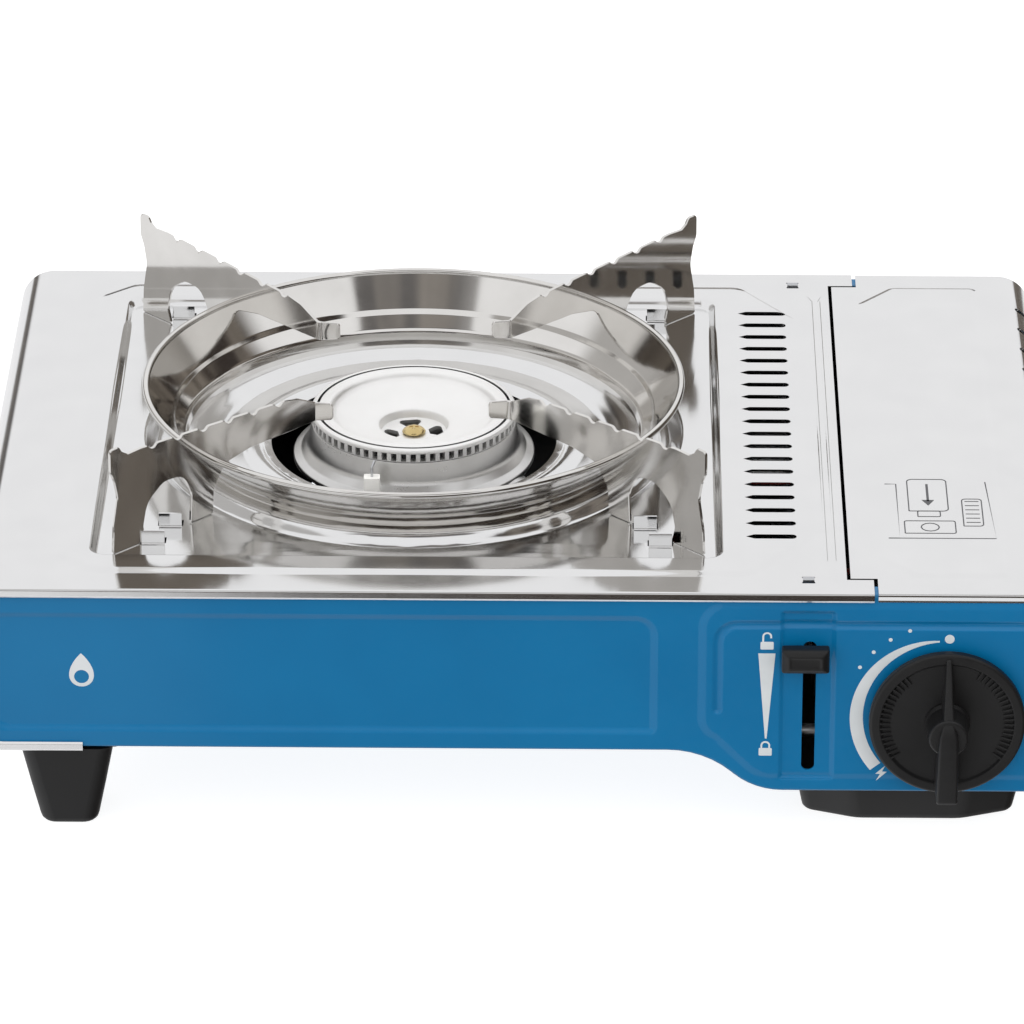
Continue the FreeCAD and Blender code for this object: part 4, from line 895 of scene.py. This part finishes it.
def shell_skin():
    """Left wall and floor, from the top of the left wall to the lower right corner, with its louvres."""
    across = Path([
        (SHELL_RIGHT, 21.3, 0), (SHELL_RIGHT, RIGHT_FLOOR, 3.7), (84.0, RIGHT_FLOOR, 26.0),
        (66.0, LEFT_FLOOR, 34.0), (SHELL_LEFT, LEFT_FLOOR, 12.0), (SHELL_LEFT, SHELL_TOP, 12.0),
        (SHELL_LEFT + 20, SHELL_TOP, 0),
    ])
    y0, y1 = PANEL_Y + 6.6, REAR_PANEL_Y - 6.6
    edge = [(0.0, y0), (across.length, y0), (across.length, y1), (0.0, y1)]
    floor_start = SHELL_RIGHT - BX + 1.2
    louvres = [floor_start + 75 - 30 * i for i in range(6)]
    holes = [outline(rect(s - 2, s + 2, BY + 60, BY + 100, 1.9), 30) for s in louvres]
    straight = Path([(y0, 0, 0), (y1, 0, 0)], shift=y0)
    presses = [Press(rect(floor_start - 60, floor_start + 60, BY - 60, BY + 50, 14.0), -1.4, 4.0)]
    # The skin's inside takes kind 2, the painted-shade black standing in for the shade inside the body.
    return bent_sheet(edge, holes, presses, across, straight, inner=2)


def shell_knuckle(y0, y1):
    """Hinge knuckle that stands on the shell's lower right corner."""
    start, sweep = -math.pi * 0.62, 2 * math.pi * 0.96
    ring, bore = [circle(HINGE_X, HINGE_Z, r, 24, start, sweep) for r in (KNUCKLE_R, KNUCKLE_R - SHEET)]
    leg = [(HINGE_X - 1.8, 19.4), (HINGE_X - 0.4, 19.4), (HINGE_X - 0.4, HINGE_Z - 2.0),
           (HINGE_X - 1.8, HINGE_Z - 1.6)]
    return Solid().add(*extrude(ring + bore[::-1], y0, y1)).add(*extrude(leg, y0, y1))


def body_shell():
    solid = panel_solid(True).join(panel_solid(False)).join(shell_skin())
    for y0, y1 in SHELL_KNUCKLES:
        solid.join(shell_knuckle(y0, y1))
    solid.join(panel_prints())
    # Kind 2 is the painted shade on the shell's inside.
    piece("shell", solid, "stove_body", [BLUE, PRINT, PAINTED_SHADE], ["base_shell"])


def flame_icon(x, z, size):
    """Plain flame: a drop with a smaller drop inside it."""
    outer, inner = [], []
    for k in range(36):
        t = 2 * math.pi * k / 36
        swell = math.sin(t / 2) ** 0.84
        outer.append((x - size * 0.42 * math.sin(t) * swell, z + size * 0.5 * math.cos(t)))
        inner.append((x + size * 0.2 * math.sin(t), z - size * 0.2 - size * 0.2 * math.cos(t)))
    return outer, inner


def padlock(x, z, size, is_open):
    """Small padlock icon: body, and a shackle that is swung up when open."""
    body = outline(rect(x - size / 2, x + size / 2, z - size * 0.45, z + size * 0.2, size * 0.08), 30)
    lift = size * 0.22 if is_open else 0.0
    reach, arch_top = size * 0.3, z + size * 0.72 + lift
    arch = [(x - reach, z + size * 0.2, 0), (x - reach, arch_top, size * 0.29),
            (x + reach, arch_top, size * 0.29), (x + reach, z + size * 0.2 + lift * 1.4, 0)]
    return [body, stroke(arch, size * 0.14)]


def panel_prints():
    """White printing on the front: a wedge with padlocks, the knob's arc, dots and spark, and a flame."""
    outer, inner = flame_icon(-152.0, 62.5, 13.0)
    left = printed([outer], lambda a, b, h: (a, PANEL_Y + FIELD_SINK - h, b), [inner])
    wedge = [(SLOT_X - 18.0, 71.4), (SLOT_X - 12.0, 71.4), (SLOT_X - 14.6, 37.9), (SLOT_X - 15.2, 37.9)]
    loops = [wedge] + padlock(SLOT_X - 15.0, 75.0, 4.6, True) + padlock(SLOT_X - 15.0, 33.2, 4.6, False)
    start, end = math.radians(96), math.radians(219)
    steps = 40
    band_out, band_in = [], []
    for k in range(steps + 1):
        angle = start + (end - start) * k / steps
        share = k / steps
        band_in.append(polar(KNOB_X, KNOB_Z, 29.3, angle))
        reach = 29.9 + 4.0 * math.sin(math.pi / 2 * min(1.0, share * 1.35))
        band_out.append(polar(KNOB_X, KNOB_Z, reach, angle))
    loops.append(band_out + band_in[::-1])
    loops.append(circle(KNOB_X + 0.3, KNOB_Z + 30.4, 1.7, 24))
    sx, sz = KNOB_X - 22.6, KNOB_Z - 22.4
    loops.append([(sx + 1.6, sz + 2.8), (sx - 1.8, sz - 0.4), (sx - 0.2, sz - 0.5), (sx - 1.6, sz - 3.2),
                  (sx + 2.2, sz + 0.4), (sx + 0.5, sz + 0.5)])
    for degrees in (112, 124, 136, 148):
        loops.append(circle(*polar(KNOB_X, KNOB_Z, 36.2, math.radians(degrees)), 0.7, 14))
    right = printed(loops, lambda a, b, h: (a, PANEL_Y - RIGHT_RISE - h, b))
    return left.join(right)


# ---- pan support ---------------------------------------------------------------------------------------
def support_ring():
    solid = Solid()
    z = TOP
    wall = Path([
        (82.7, z - 4.2, 0), (83.4, z - 0.2, 4.0), (87.4, z + 4.6, 2.0), (88.2, z + 6.4, 2.0),
        (97.6, z + 18.2, 0),
    ], arc_step=12)
    solid.turned(band(wall, 0.9), 160)
    solid.turned(circle(97.45, z + 17.75, 1.25, 20), 160)
    piece("support_ring", solid, "pan_support", [BRIGHT], ["pan_support_ring"])


def arm_outline():
    """One arm drawn flat, by distance from the burner's axis and height; its inner end gets folded."""
    z, base = TOP, RECESS_Z + 0.35
    corners = [
        (131.5, base, 0.6), (147.0, base, 0.6), (146.4, z + 8.0, 8.0), (144.2, z + 19.0, 8.0),
        (145.6, z + 26.0, 4.0), (147.4, z + 30.0, 4.0), (147.4, z + 38.2, 1.4), (143.4, z + 38.2, 1.2),
        (142.0, z + 36.0, 0.8), (139.6, z + 34.4, 1.0),
    ]
    tooth = ((0.0, 0.7, 1.6), (3.0, 0.5, 1.2), (4.4, -1.0, 0.8), (6.2, -1.0, 0.8), (7.6, 0.3, 1.2))
    for i in range(6):
        u = 133.0 - 12.0 * i
        rise = z + 29.4 + 4.6 * (u - 54.0) / 80.0
        corners += [(u - back, rise + up, radius) for back, up, radius in tooth]
    corners += [
        (58.5, z + 29.4, 6.0), (50.0, z + 25.2, 3.0), (42.6, z + 24.6, 1.2), (42.6, z + 18.8, 1.2),
        (51.0, z + 18.4, 3.0), (82.0, z + 18.2, 8.0), (94.0, z + 16.0, 6.0), (99.6, z + 8.0, 4.0),
        (100.2, base, 0.6), (110.4, base, 0.6), (109.6, z + 10.0, 6.0), (114.0, z + 18.0, 6.0),
        (123.0, z + 18.6, 6.0), (131.0, z + 13.0, 8.0), (133.2, z + 4.0, 4.0),
    ]
    return outline(corners, 22)


def support_arm(place, degrees, bend):
    """Sheet arm, its inner end folded 45 degrees, turned to its place round the burner."""
    edge = arm_outline()
    turn = math.radians(45) * bend
    inner_end = Vector((ARM_IN, 0)) + Vector((-math.cos(turn), math.sin(turn))) * FOLD_LENGTH
    plan = Path([(inner_end.x, inner_end.y, 0), (ARM_IN, 0, 2.0), (200.0, 0, 0)], arc_step=11)
    plan.shift = ARM_IN - FOLD_LENGTH
    z0, z1 = TOP - 10, TOP + 50
    lines = [[(s, z0), (s, z1)] for s in plan.stops()[1:-1]]
    flat, faces = triangulate(edge, (), (), lines)
    verts = []
    for s, h in flat:
        (a, b), (na, nb) = plan.at(s)
        verts.append(Vector((a + na * ARM_T / 2, b + nb * ARM_T / 2, h)))
    solid = Solid().add(*thicken(verts, faces, ARM_T, 0.25))
    solid.moved(Matrix.Translation((BX, BY, 0)) @ Matrix.Rotation(math.radians(degrees), 4, "Z"))
    piece("arm_" + place, solid, "pan_support", [BRIGHT], ["pan_support_arm_" + place])


# ---- burner --------------------------------------------------------------------------------------------
def burner_bowl():
    z = TOP
    solid = Solid()
    profile = fillet([
        (17.0, z - 34, 1.0), (24, z - 34, 4.0), (35, z - 24, 6.0), (41.0, z - 13.0, 2.0),
        (44.2, z - 12.2, 1.2), (44.2, z - 10.2, 0.9), (41.2, z - 9.0, 1.6), (38.6, z - 6.0, 4.0),
        (37.2, z + 1.8, 0.4), (33.0, z + 1.8, 0.4), (33.0, z - 8, 4.0), (28, z - 22, 4.0),
        (17.0, z - 30.5, 1.0),
    ])
    solid.turned(profile, 128)
    solid.turned([(0, z - 33.9), (17.3, z - 33.9), (17.3, z - 30.6), (0, z - 30.6)], 64)
    solid.turned([(0, z - 33), (5.5, z - 33), (5.5, z - 7.0), (0, z - 7.0)], 48)
    horn = fillet([
        (17.0, 26.0, 0.2), (19.0, 26.0, 0.2), (10.5, 58.0, 12.0), (10.5, 68.0, 3.0), (13.0, 75.0, 1.0),
        (13.0, 76.0, 0.5), (11.2, 76.0, 0.5), (8.3, 67.0, 3.0), (8.3, 58.0, 8.0),
    ])
    verts, faces = lathe(horn, count=64)
    along_horn = Matrix.Rotation(math.radians(-33.0), 4, "Z") @ Matrix.Rotation(math.pi / 2, 4, "Y")
    turn = Matrix.Translation((BX, BY, 70.0)) @ along_horn
    solid.add([turn @ v for v in verts], faces)
    piece("bowl", solid, "stove_body", [CAST], ["burner_bowl"])


CAP_PROFILE = [
    (0.0, -3.6), (11.0, -3.3), (11.9, -2.9), (12.5, -0.4), (13.0, 0.1), (20.0, 2.0), (26.0, 3.4),
    (28.6, 4.7), (29.6, 5.4), (30.2, 6.2), (31.0, 6.75), (32.0, CAP_RISE), (35.6, CAP_RISE),
]
CAP_RINGS = (3.0, 11.3, 11.9, 12.2, 12.5, 13.0, 14.5, 17.0, 20.0, 24.0, 27.6, 28.6, 29.2, 29.6, 29.9, 30.2,
             30.6, 31.0, 31.5, 32.0)


def burner_cap():
    """Dished top with four openings round the screw, and a skirt cut into flame ports."""
    z = TOP
    radii, heights = zip(*CAP_PROFILE)
    opening = outline([(5.6, -2.0, 1.0), (10.6, -5.4, 1.6), (10.6, 5.4, 1.6), (5.6, 2.0, 1.0)], 22)
    holes = []
    for i in range(4):
        angle = math.radians(10 + 90 * i)
        holes.append([(BX + a * math.cos(angle) - b * math.sin(angle),
                       BY + a * math.sin(angle) + b * math.cos(angle)) for a, b in opening])
    rings = [circle(BX, BY, r, 96) for r in CAP_RINGS]
    edge = circle(BX, BY, 35.6, 96)
    flat, faces = triangulate(edge, holes, rings)
    level = np.interp(np.hypot(flat[:, 0] - BX, flat[:, 1] - BY), radii, heights)
    verts = [Vector((a, b, z + h)) for (a, b), h in zip(flat, level)]
    solid = Solid().add(*thicken(verts, faces, 1.4))
    rim = fillet([(34.6, z + CAP_RISE, 0.05), (37.5, z + CAP_RISE, 1.0), (37.5, z + 5.3, 0.2),
                  (34.6, z + 5.3, 0.05)])
    solid.turned(rim, 160)
    solid.add(*port_ring(z + 2.05, z + 5.4))
    # Painted shade: a near-black band just inside the flame ports, so the gaps between the teeth read dark.
    solid.turned([(34.0, z + 2.4), (34.6, z + 2.4), (34.6, z + 5.35), (34.0, z + 5.35)], 128, 1)
    piece("cap", solid, "stove_body", [CAP_ALUMINIUM, PAINTED_SHADE], ["burner_cap"])


def port_ring(low, high, ports=66):
    """Ring of teeth between the flame ports, on a continuous lower band."""
    columns = []
    for i in range(ports):
        start = 2 * math.pi * i / ports
        wide = 2 * math.pi / ports
        for share, radius in ((0.0, 37.2), (0.44, 37.2), (0.46, 34.2), (0.98, 34.2)):
            columns.append((start + wide * share, radius))
    verts, count = [], len(columns)
    for level, use_teeth in ((low, False), (low + 0.3, False), (low + 0.3, True), (high, True)):
        for angle, radius in columns:
            r = radius if use_teeth else 37.2
            verts.append(Vector((*polar(BX, BY, r, angle), level)))
    for level in (high, low):
        verts += [Vector((*polar(BX, BY, 33.8, angle), level)) for angle, _ in columns]
    faces = [tuple(i % len(verts) for i in face) for face in strips(7, count)]
    return verts, faces


def burner_screw():
    """Cross-head screw in the middle of the cap."""
    base = TOP - 3.5
    cross = []
    for i in range(4):
        for da, r in ((-0.32, 1.9), (0.32, 1.9), (math.pi / 4, 0.62)):
            cross.append(polar(BX, BY, r, i * math.pi / 2 + da * 0.9))
    small_cross = [((a - BX) * 0.8 + BX, (b - BY) * 0.8 + BY) for a, b in cross]
    rings = [circle(BX, BY, r, 40) for r in (2.3, 3.2, 3.9, 4.2)]
    flat, faces = triangulate(circle(BX, BY, 4.3, 40), (), rings + [cross, small_cross])
    radius = np.hypot(flat[:, 0] - BX, flat[:, 1] - BY)
    height = 2.6 * np.sqrt(np.clip(1 - (radius / 4.45) ** 2, 0, 1))
    depth = np.clip(depth_inside(flat, cross) / 0.3, 0, 1)
    height -= 1.4 * depth
    verts = [Vector((a, b, base + h)) for (a, b), h in zip(flat, height)]
    solid = Solid().add(*thicken(verts, faces, 0.35))
    solid.turned([(0, base - 17), (1.5, base - 17), (1.5, base + 0.6), (0, base + 0.6)], 24)
    piece("cap_screw", solid, "stove_body", [YELLOW_ZINC], ["burner_screw"])


# ---- controls ------------------------------------------------------------------------------------------
def control_knob():
    back, front = knob_high.y, knob_low.y
    face = back - 3.5
    solid = Solid()
    disc = fillet([
        (SPINDLE_BORE, back, 0.1), (27.3, back, 0.6), (27.3, face, 1.2), (23.6, face, 0.6),
        (22.8, face + 0.9, 0.6), (9.2, face + 1.1, 1.5), (SPINDLE_BORE, face + 1.1, 0.1),
    ])
    hub = fillet([
        (SPINDLE_BORE, face + 1.2, 0.05), (8.4, face + 1.2, 0.6), (7.2, face - 1.0, 1.0),
        (6.9, front + 2.4, 0.9), (SPINDLE_BORE, front + 2.4, 0.05),
    ])
    plug_r = SPINDLE_BORE + 0.05
    plug = [(0, front + 2.3), (plug_r, front + 2.3), (plug_r, front + 4.9), (0, front + 4.9)]
    for profile, count in ((disc, 128), (hub, 64), (plug, 48)):
        solid.add(*lathe(flip(profile), (KNOB_X, 0, KNOB_Z), "y", count))
    for degrees in range(0, 360, 5):
        if degrees < 62 or 128 < degrees < 216 or degrees > 324:
            solid.add(*knurl(math.radians(degrees), face))
    solid.add(*pointer(face, front))
    piece("knob", solid, "knob", [BLACK], ["control_knob"], crease=50)


def flip(profile):
    """Profile along Y for a lathe that was turned to point down -Y."""
    return [(radius, -height) for radius, height in profile]


def knurl(angle, face):
    """Small radial ridge on the knob's face."""
    ridge = Path([(19.6, 0, 0), (25.6, 0, 0)])
    c, s = math.cos(angle), math.sin(angle)
    loops = []
    for share, width, rise in (
            (0.0, 0.1, 0.0), (0.12, 0.45, 0.6), (0.6, 0.6, 0.9), (0.9, 0.55, 0.8), (1.0, 0.15, 0.1)):
        (r, _), _ = ridge.at(ridge.length * share)
        base, top = face + 1.3, face + 0.9 - rise * 0.9
        section = ((-width, base), (-width * 0.5, top), (width * 0.5, top), (width, base))
        loops.append([(KNOB_X + r * c - b * s, y, KNOB_Z + r * s + b * c) for b, y in section])
    return loft(loops)


def pointer(face, front):
    """Grip bar across the knob: a thin blade above, deepening and widening to a square grip below."""
    sections = [(25.6, 0.7, face - 0.2), (24.8, 0.9, face - 1.0), (12.0, 1.5, face - 7.0),
                (5.0, 2.1, front + 2.2), (1.0, 3.2, front + 0.4), (-4.0, 3.5, front), (-16.0, 3.65, front),
                (-23.6, 3.7, front + 0.1), (-24.8, 3.6, front + 0.5), (-25.2, 3.2, front + 1.4)]
    bottom = face + 1.4
    loops = []
    for dz, half, y in sections:
        r = min(0.9, half * 0.45)
        side = [(half + 0.25, bottom), (half, y + r), (half - r * 0.3, y + r * 0.3), (half - r, y)]
        around = [(-a, b) for a, b in side] + side[::-1]
        loops.append([(KNOB_X + a, b, KNOB_Z + dz) for a, b in around])
    return loft(loops)


def lever_button():
    """Thumb button: chamfered block with a shallow hollow for the thumb."""
    x0, x1 = button_low.x, button_high.x
    y0, y1 = button_low.y, button_high.y
    z0, z1 = button_low.z, button_high.z
    loops = []
    rows = [(0.5, y1), (0.0, y1 - 0.5), (0.0, y0 + 2.2), (0.5, y0 + 1.2), (1.9, y0 + 0.2), (2.4, y0),
            (3.0, y0 + 0.1), (3.7, y0 + 0.5)]
    for back, y in rows:
        loop = outline(rect(x0 + back, x1 - back, z0 + back * 0.9, z1 - back * 0.9, 0.8), 30)
        loops.append([(a, y, b) for a, b in loop])
    solid = Solid().add(*loft(loops))
    piece("button", solid, "lever", [BLACK], ["lever_button"], crease=50)


# ---- feet ----------------------------------------------------------------------------------------------
def rounded_foot(bottom, top, z_top):
    """Foot lofted from its sole to its top, with a rounded lower edge and a recess under the sole."""
    rows = [
        (0.16, 5.0, 8.0), (0.0, 5.0, 0.4), (0.0, 4.4, 0.0), (0.0, 1.9, 0.0), (0.01, 0.8, 0.35),
        (0.03, 0.2, 1.1), (0.07, 0.0, 2.4), (0.5, 0.0, z_top * 0.5), (0.95, 0.0, z_top - 1.2),
        (1.0, 0.0, z_top),
    ]
    loops = []
    for share, back, z in rows:
        corners = [tuple(p + (q - p) * share for p, q in zip(low, high)) for low, high in zip(bottom, top)]
        loops.append([(a, b, z) for a, b in outline(inset(corners, back), 15)])
    return loft(loops)


def tall_foot(name):
    low, high = extent(name)
    y = low.y + 14.5
    x = low.x + 18.6
    bottom = rect(x - 11.8, x + 8.2, y - 12.0, y + 12.0, 5.5)
    top = rect(x - 18.6, x + 14.6, y - 14.5, y + 14.5, 5.5)
    solid = Solid().add(*rounded_foot(bottom, top, high.z - 1.25))
    flange = outline(rect(x + 8, x + 19.0, y - 8, y + 8, 1.5), 20)
    solid.add(*extrude(flange, high.z - 3.2, high.z, "z", 0.3))
    piece(name + "_moulding", solid, "stove_body", [BLACK], [name], crease=50)


def wide_foot(name, side):
    """Foot whose bowed face looks to the front (side -1) or to the back (side 1)."""
    low, high = extent(name)
    x0, x1 = low.x - 0.4, high.x + 0.4
    back, front = (high.y, low.y) if side < 0 else (low.y, high.y)

    def corners(grow, reach):
        a0, a1 = x0 + 2.6 - grow, x1 - 2.6 + grow
        near, far = front - side * (9.6 - reach), front - side * (2.6 - reach)
        return [(a0, back, 3.0), (a0, near, 5.5), (a0 + 19, far, 14.0), (a1 - 19, far, 14.0), (a1, near, 5.5),
                (a1, back, 3.0)][::-side]

    solid = Solid().add(*rounded_foot(corners(0.0, 0.0), corners(2.6, 2.6), high.z))
    piece(name + "_moulding", solid, "stove_body", [BLACK], [name], crease=50)


# ---- stage ---------------------------------------------------------------------------------------------
def floor():
    mesh = bpy.data.meshes.new("floor")
    size = 3.5
    corners = [(-size, -size, 0), (size, -size, 0), (size, size, 0), (-size, size, 0)]
    mesh.from_pydata(corners, [], [(0, 1, 2, 3)])
    obj = bpy.data.objects.new("floor", mesh)
    bpy.context.scene.collection.objects.link(obj)
    material, tree, shader = nodes_of("floor_paper")
    paper = tint(tree, noise(tree, 3, 2), (0.30, 0.30, 0.30), (0.33, 0.33, 0.33))
    tree.links.new(paper, shader.inputs["Base Color"])
    shader.inputs["Roughness"].default_value = 0.9
    shader.inputs["Emission Color"].default_value = (1, 1, 1, 1)
    shader.inputs["Emission Strength"].default_value = 0.88
    obj.visible_glossy = False
    obj.visible_diffuse = False
    mesh.materials.append(material)


def lamp(name, place, target, size, power):
    light = bpy.data.lights.new(name, "AREA")
    light.shape = "RECTANGLE"
    light.size, light.size_y = size
    light.energy = power
    obj = bpy.data.objects.new(name, light)
    bpy.context.scene.collection.objects.link(obj)
    obj.location = place
    obj.rotation_euler = (Vector(target) - Vector(place)).to_track_quat("-Z", "Y").to_euler()
    obj.visible_glossy = False


def studio():
    """White studio: soft light, stronger from above; polished parts mirror a dome with screens.

    One dark screen stands in front, from below the table to a little above it, and a taller one at the right.
    A grey one stands at the left, and a small dark one hangs in front above the camera. Their dark is
    patchy."""
    world = bpy.data.worlds.new("studio")
    world.use_nodes = True
    bpy.context.scene.world = world
    tree = world.node_tree
    tree.nodes.clear()

    def fill(node, values):
        for socket, value in zip(node.inputs, values):
            if isinstance(value, bpy.types.NodeSocket):
                tree.links.new(value, socket)
            else:
                socket.default_value = value
        return node.outputs[0]

    def math_node(operation, *values):
        node = tree.nodes.new("ShaderNodeMath")
        node.operation = operation
        return fill(node, values)

    def times(a, b):
        return math_node("MULTIPLY", a, b)

    def ramp(value, start, end):
        node = tree.nodes.new("ShaderNodeMapRange")
        node.interpolation_type = "SMOOTHSTEP"
        return fill(node, (value, start, end))

    where = tree.nodes.new("ShaderNodeTexCoord").outputs["Generated"]
    split = tree.nodes.new("ShaderNodeSeparateXYZ")
    tree.links.new(where, split.inputs[0])
    x, y, z = split.outputs
    level = math_node("SQRT", math_node("ADD", times(x, x), times(y, y)))
    frontness = math_node("DIVIDE", times(y, -1.0), level)
    sideness = math_node("DIVIDE", x, level)
    front = ramp(frontness, 0.2, 0.8)
    right = ramp(sideness, 0.3, 0.8)
    left = ramp(sideness, -0.3, -0.8)
    skyline = math_node("MAXIMUM", times(front, 0.20), times(right, 0.46))
    skyline = math_node("ADD", math_node("MAXIMUM", skyline, times(left, 0.40)), 0.12)
    shelf = times(times(front, ramp(sideness, -0.078, -0.054)), -0.70)
    shelf = math_node("MINIMUM", shelf, times(right, -0.90))
    above = ramp(z, math_node("SUBTRACT", skyline, 0.04), math_node("ADD", skyline, 0.04))
    below = ramp(z, math_node("ADD", shelf, 0.03), math_node("SUBTRACT", shelf, 0.03))
    bright = math_node("MAXIMUM", above, below)
    card = times(ramp(z, 0.68, 0.71), ramp(z, 0.92, 0.89))
    card = times(card, ramp(frontness, 0.80, 0.84))
    bright = times(bright, math_node("MULTIPLY_ADD", card, -0.88, 1.0))
    patches = tree.nodes.new("ShaderNodeTexNoise")
    patches.inputs["Scale"].default_value = 5.0
    tree.links.new(where, patches.inputs["Vector"])
    mottling = spread(tree, patches.outputs["Fac"], 0, 1, 0.45, 0.65)
    gloom = tint(tree, mottling, (0.040, 0.032, 0.028), (0.20, 0.175, 0.15))
    dark = tint(tree, left, (0.05, 0.04, 0.034), (0.50, 0.49, 0.48))
    tree.links.new(gloom, dark.node.inputs[6])
    lit_dome = tree.nodes.new("ShaderNodeMix")
    lit_dome.data_type = "RGBA"
    tree.links.new(bright, lit_dome.inputs[0])
    tree.links.new(dark, lit_dome.inputs[6])
    lit_dome.inputs[7].default_value = (0.93, 0.93, 0.94, 1)
    dome = tree.nodes.new("ShaderNodeBackground")
    tree.links.new(lit_dome.outputs[2], dome.inputs["Color"])
    even = tree.nodes.new("ShaderNodeBackground")
    even.inputs["Color"].default_value = (1, 1, 1, 1)
    upper = math_node("MULTIPLY_ADD", ramp(z, -0.3, 0.5), 0.85, 0.48)
    tree.links.new(upper, even.inputs["Strength"])
    behind = tree.nodes.new("ShaderNodeBackground")
    behind.inputs["Color"].default_value = (1, 1, 1, 1)
    rays = tree.nodes.new("ShaderNodeLightPath")
    lit, seen = tree.nodes.new("ShaderNodeMixShader"), tree.nodes.new("ShaderNodeMixShader")
    tree.links.new(rays.outputs["Is Glossy Ray"], lit.inputs[0])
    tree.links.new(even.outputs[0], lit.inputs[1])
    tree.links.new(dome.outputs[0], lit.inputs[2])
    tree.links.new(rays.outputs["Is Camera Ray"], seen.inputs[0])
    tree.links.new(lit.outputs[0], seen.inputs[1])
    tree.links.new(behind.outputs[0], seen.inputs[2])
    out = tree.nodes.new("ShaderNodeOutputWorld")
    tree.links.new(seen.outputs[0], out.inputs["Surface"])
    lamp("key", (-0.9, -0.5, 1.9), (0, 0, 0.05), (1.2, 0.8), 4)
    lamp("back", (0.3, 1.7, 1.2), (0, 0, 0.05), (1.4, 0.4), 3)


def camera():
    data = bpy.data.cameras.new("camera")
    data.sensor_width = 36.0
    data.lens = 243.96
    data.clip_start, data.clip_end = 0.05, 30.0
    obj = bpy.data.objects.new("camera", data)
    bpy.context.scene.collection.objects.link(obj)
    obj.location = (BX * MM + 0.06792, BY * MM - 2.29331, TOP * MM + 1.07693)
    obj.rotation_euler = (math.radians(90 - 25.875), 0, math.radians(0.8018))
    bpy.context.scene.camera = obj


ARMS = {"front_left": (225, 1), "front_right": (315, -1), "rear_left": (135, -1), "rear_right": (45, 1)}

dress_cad_nodes()
top_plate()
cartridge_lid()
body_shell()
support_ring()
for place, (degrees, bend) in ARMS.items():
    support_arm(place, degrees, bend)
burner_bowl()
burner_cap()
burner_screw()
control_knob()
lever_button()
tall_foot("foot_front_left")
tall_foot("foot_rear_left")
wide_foot("foot_front_right", -1)
wide_foot("foot_rear_right", 1)
floor()
studio()
camera()
bpy.context.scene.view_settings.view_transform = "Standard"
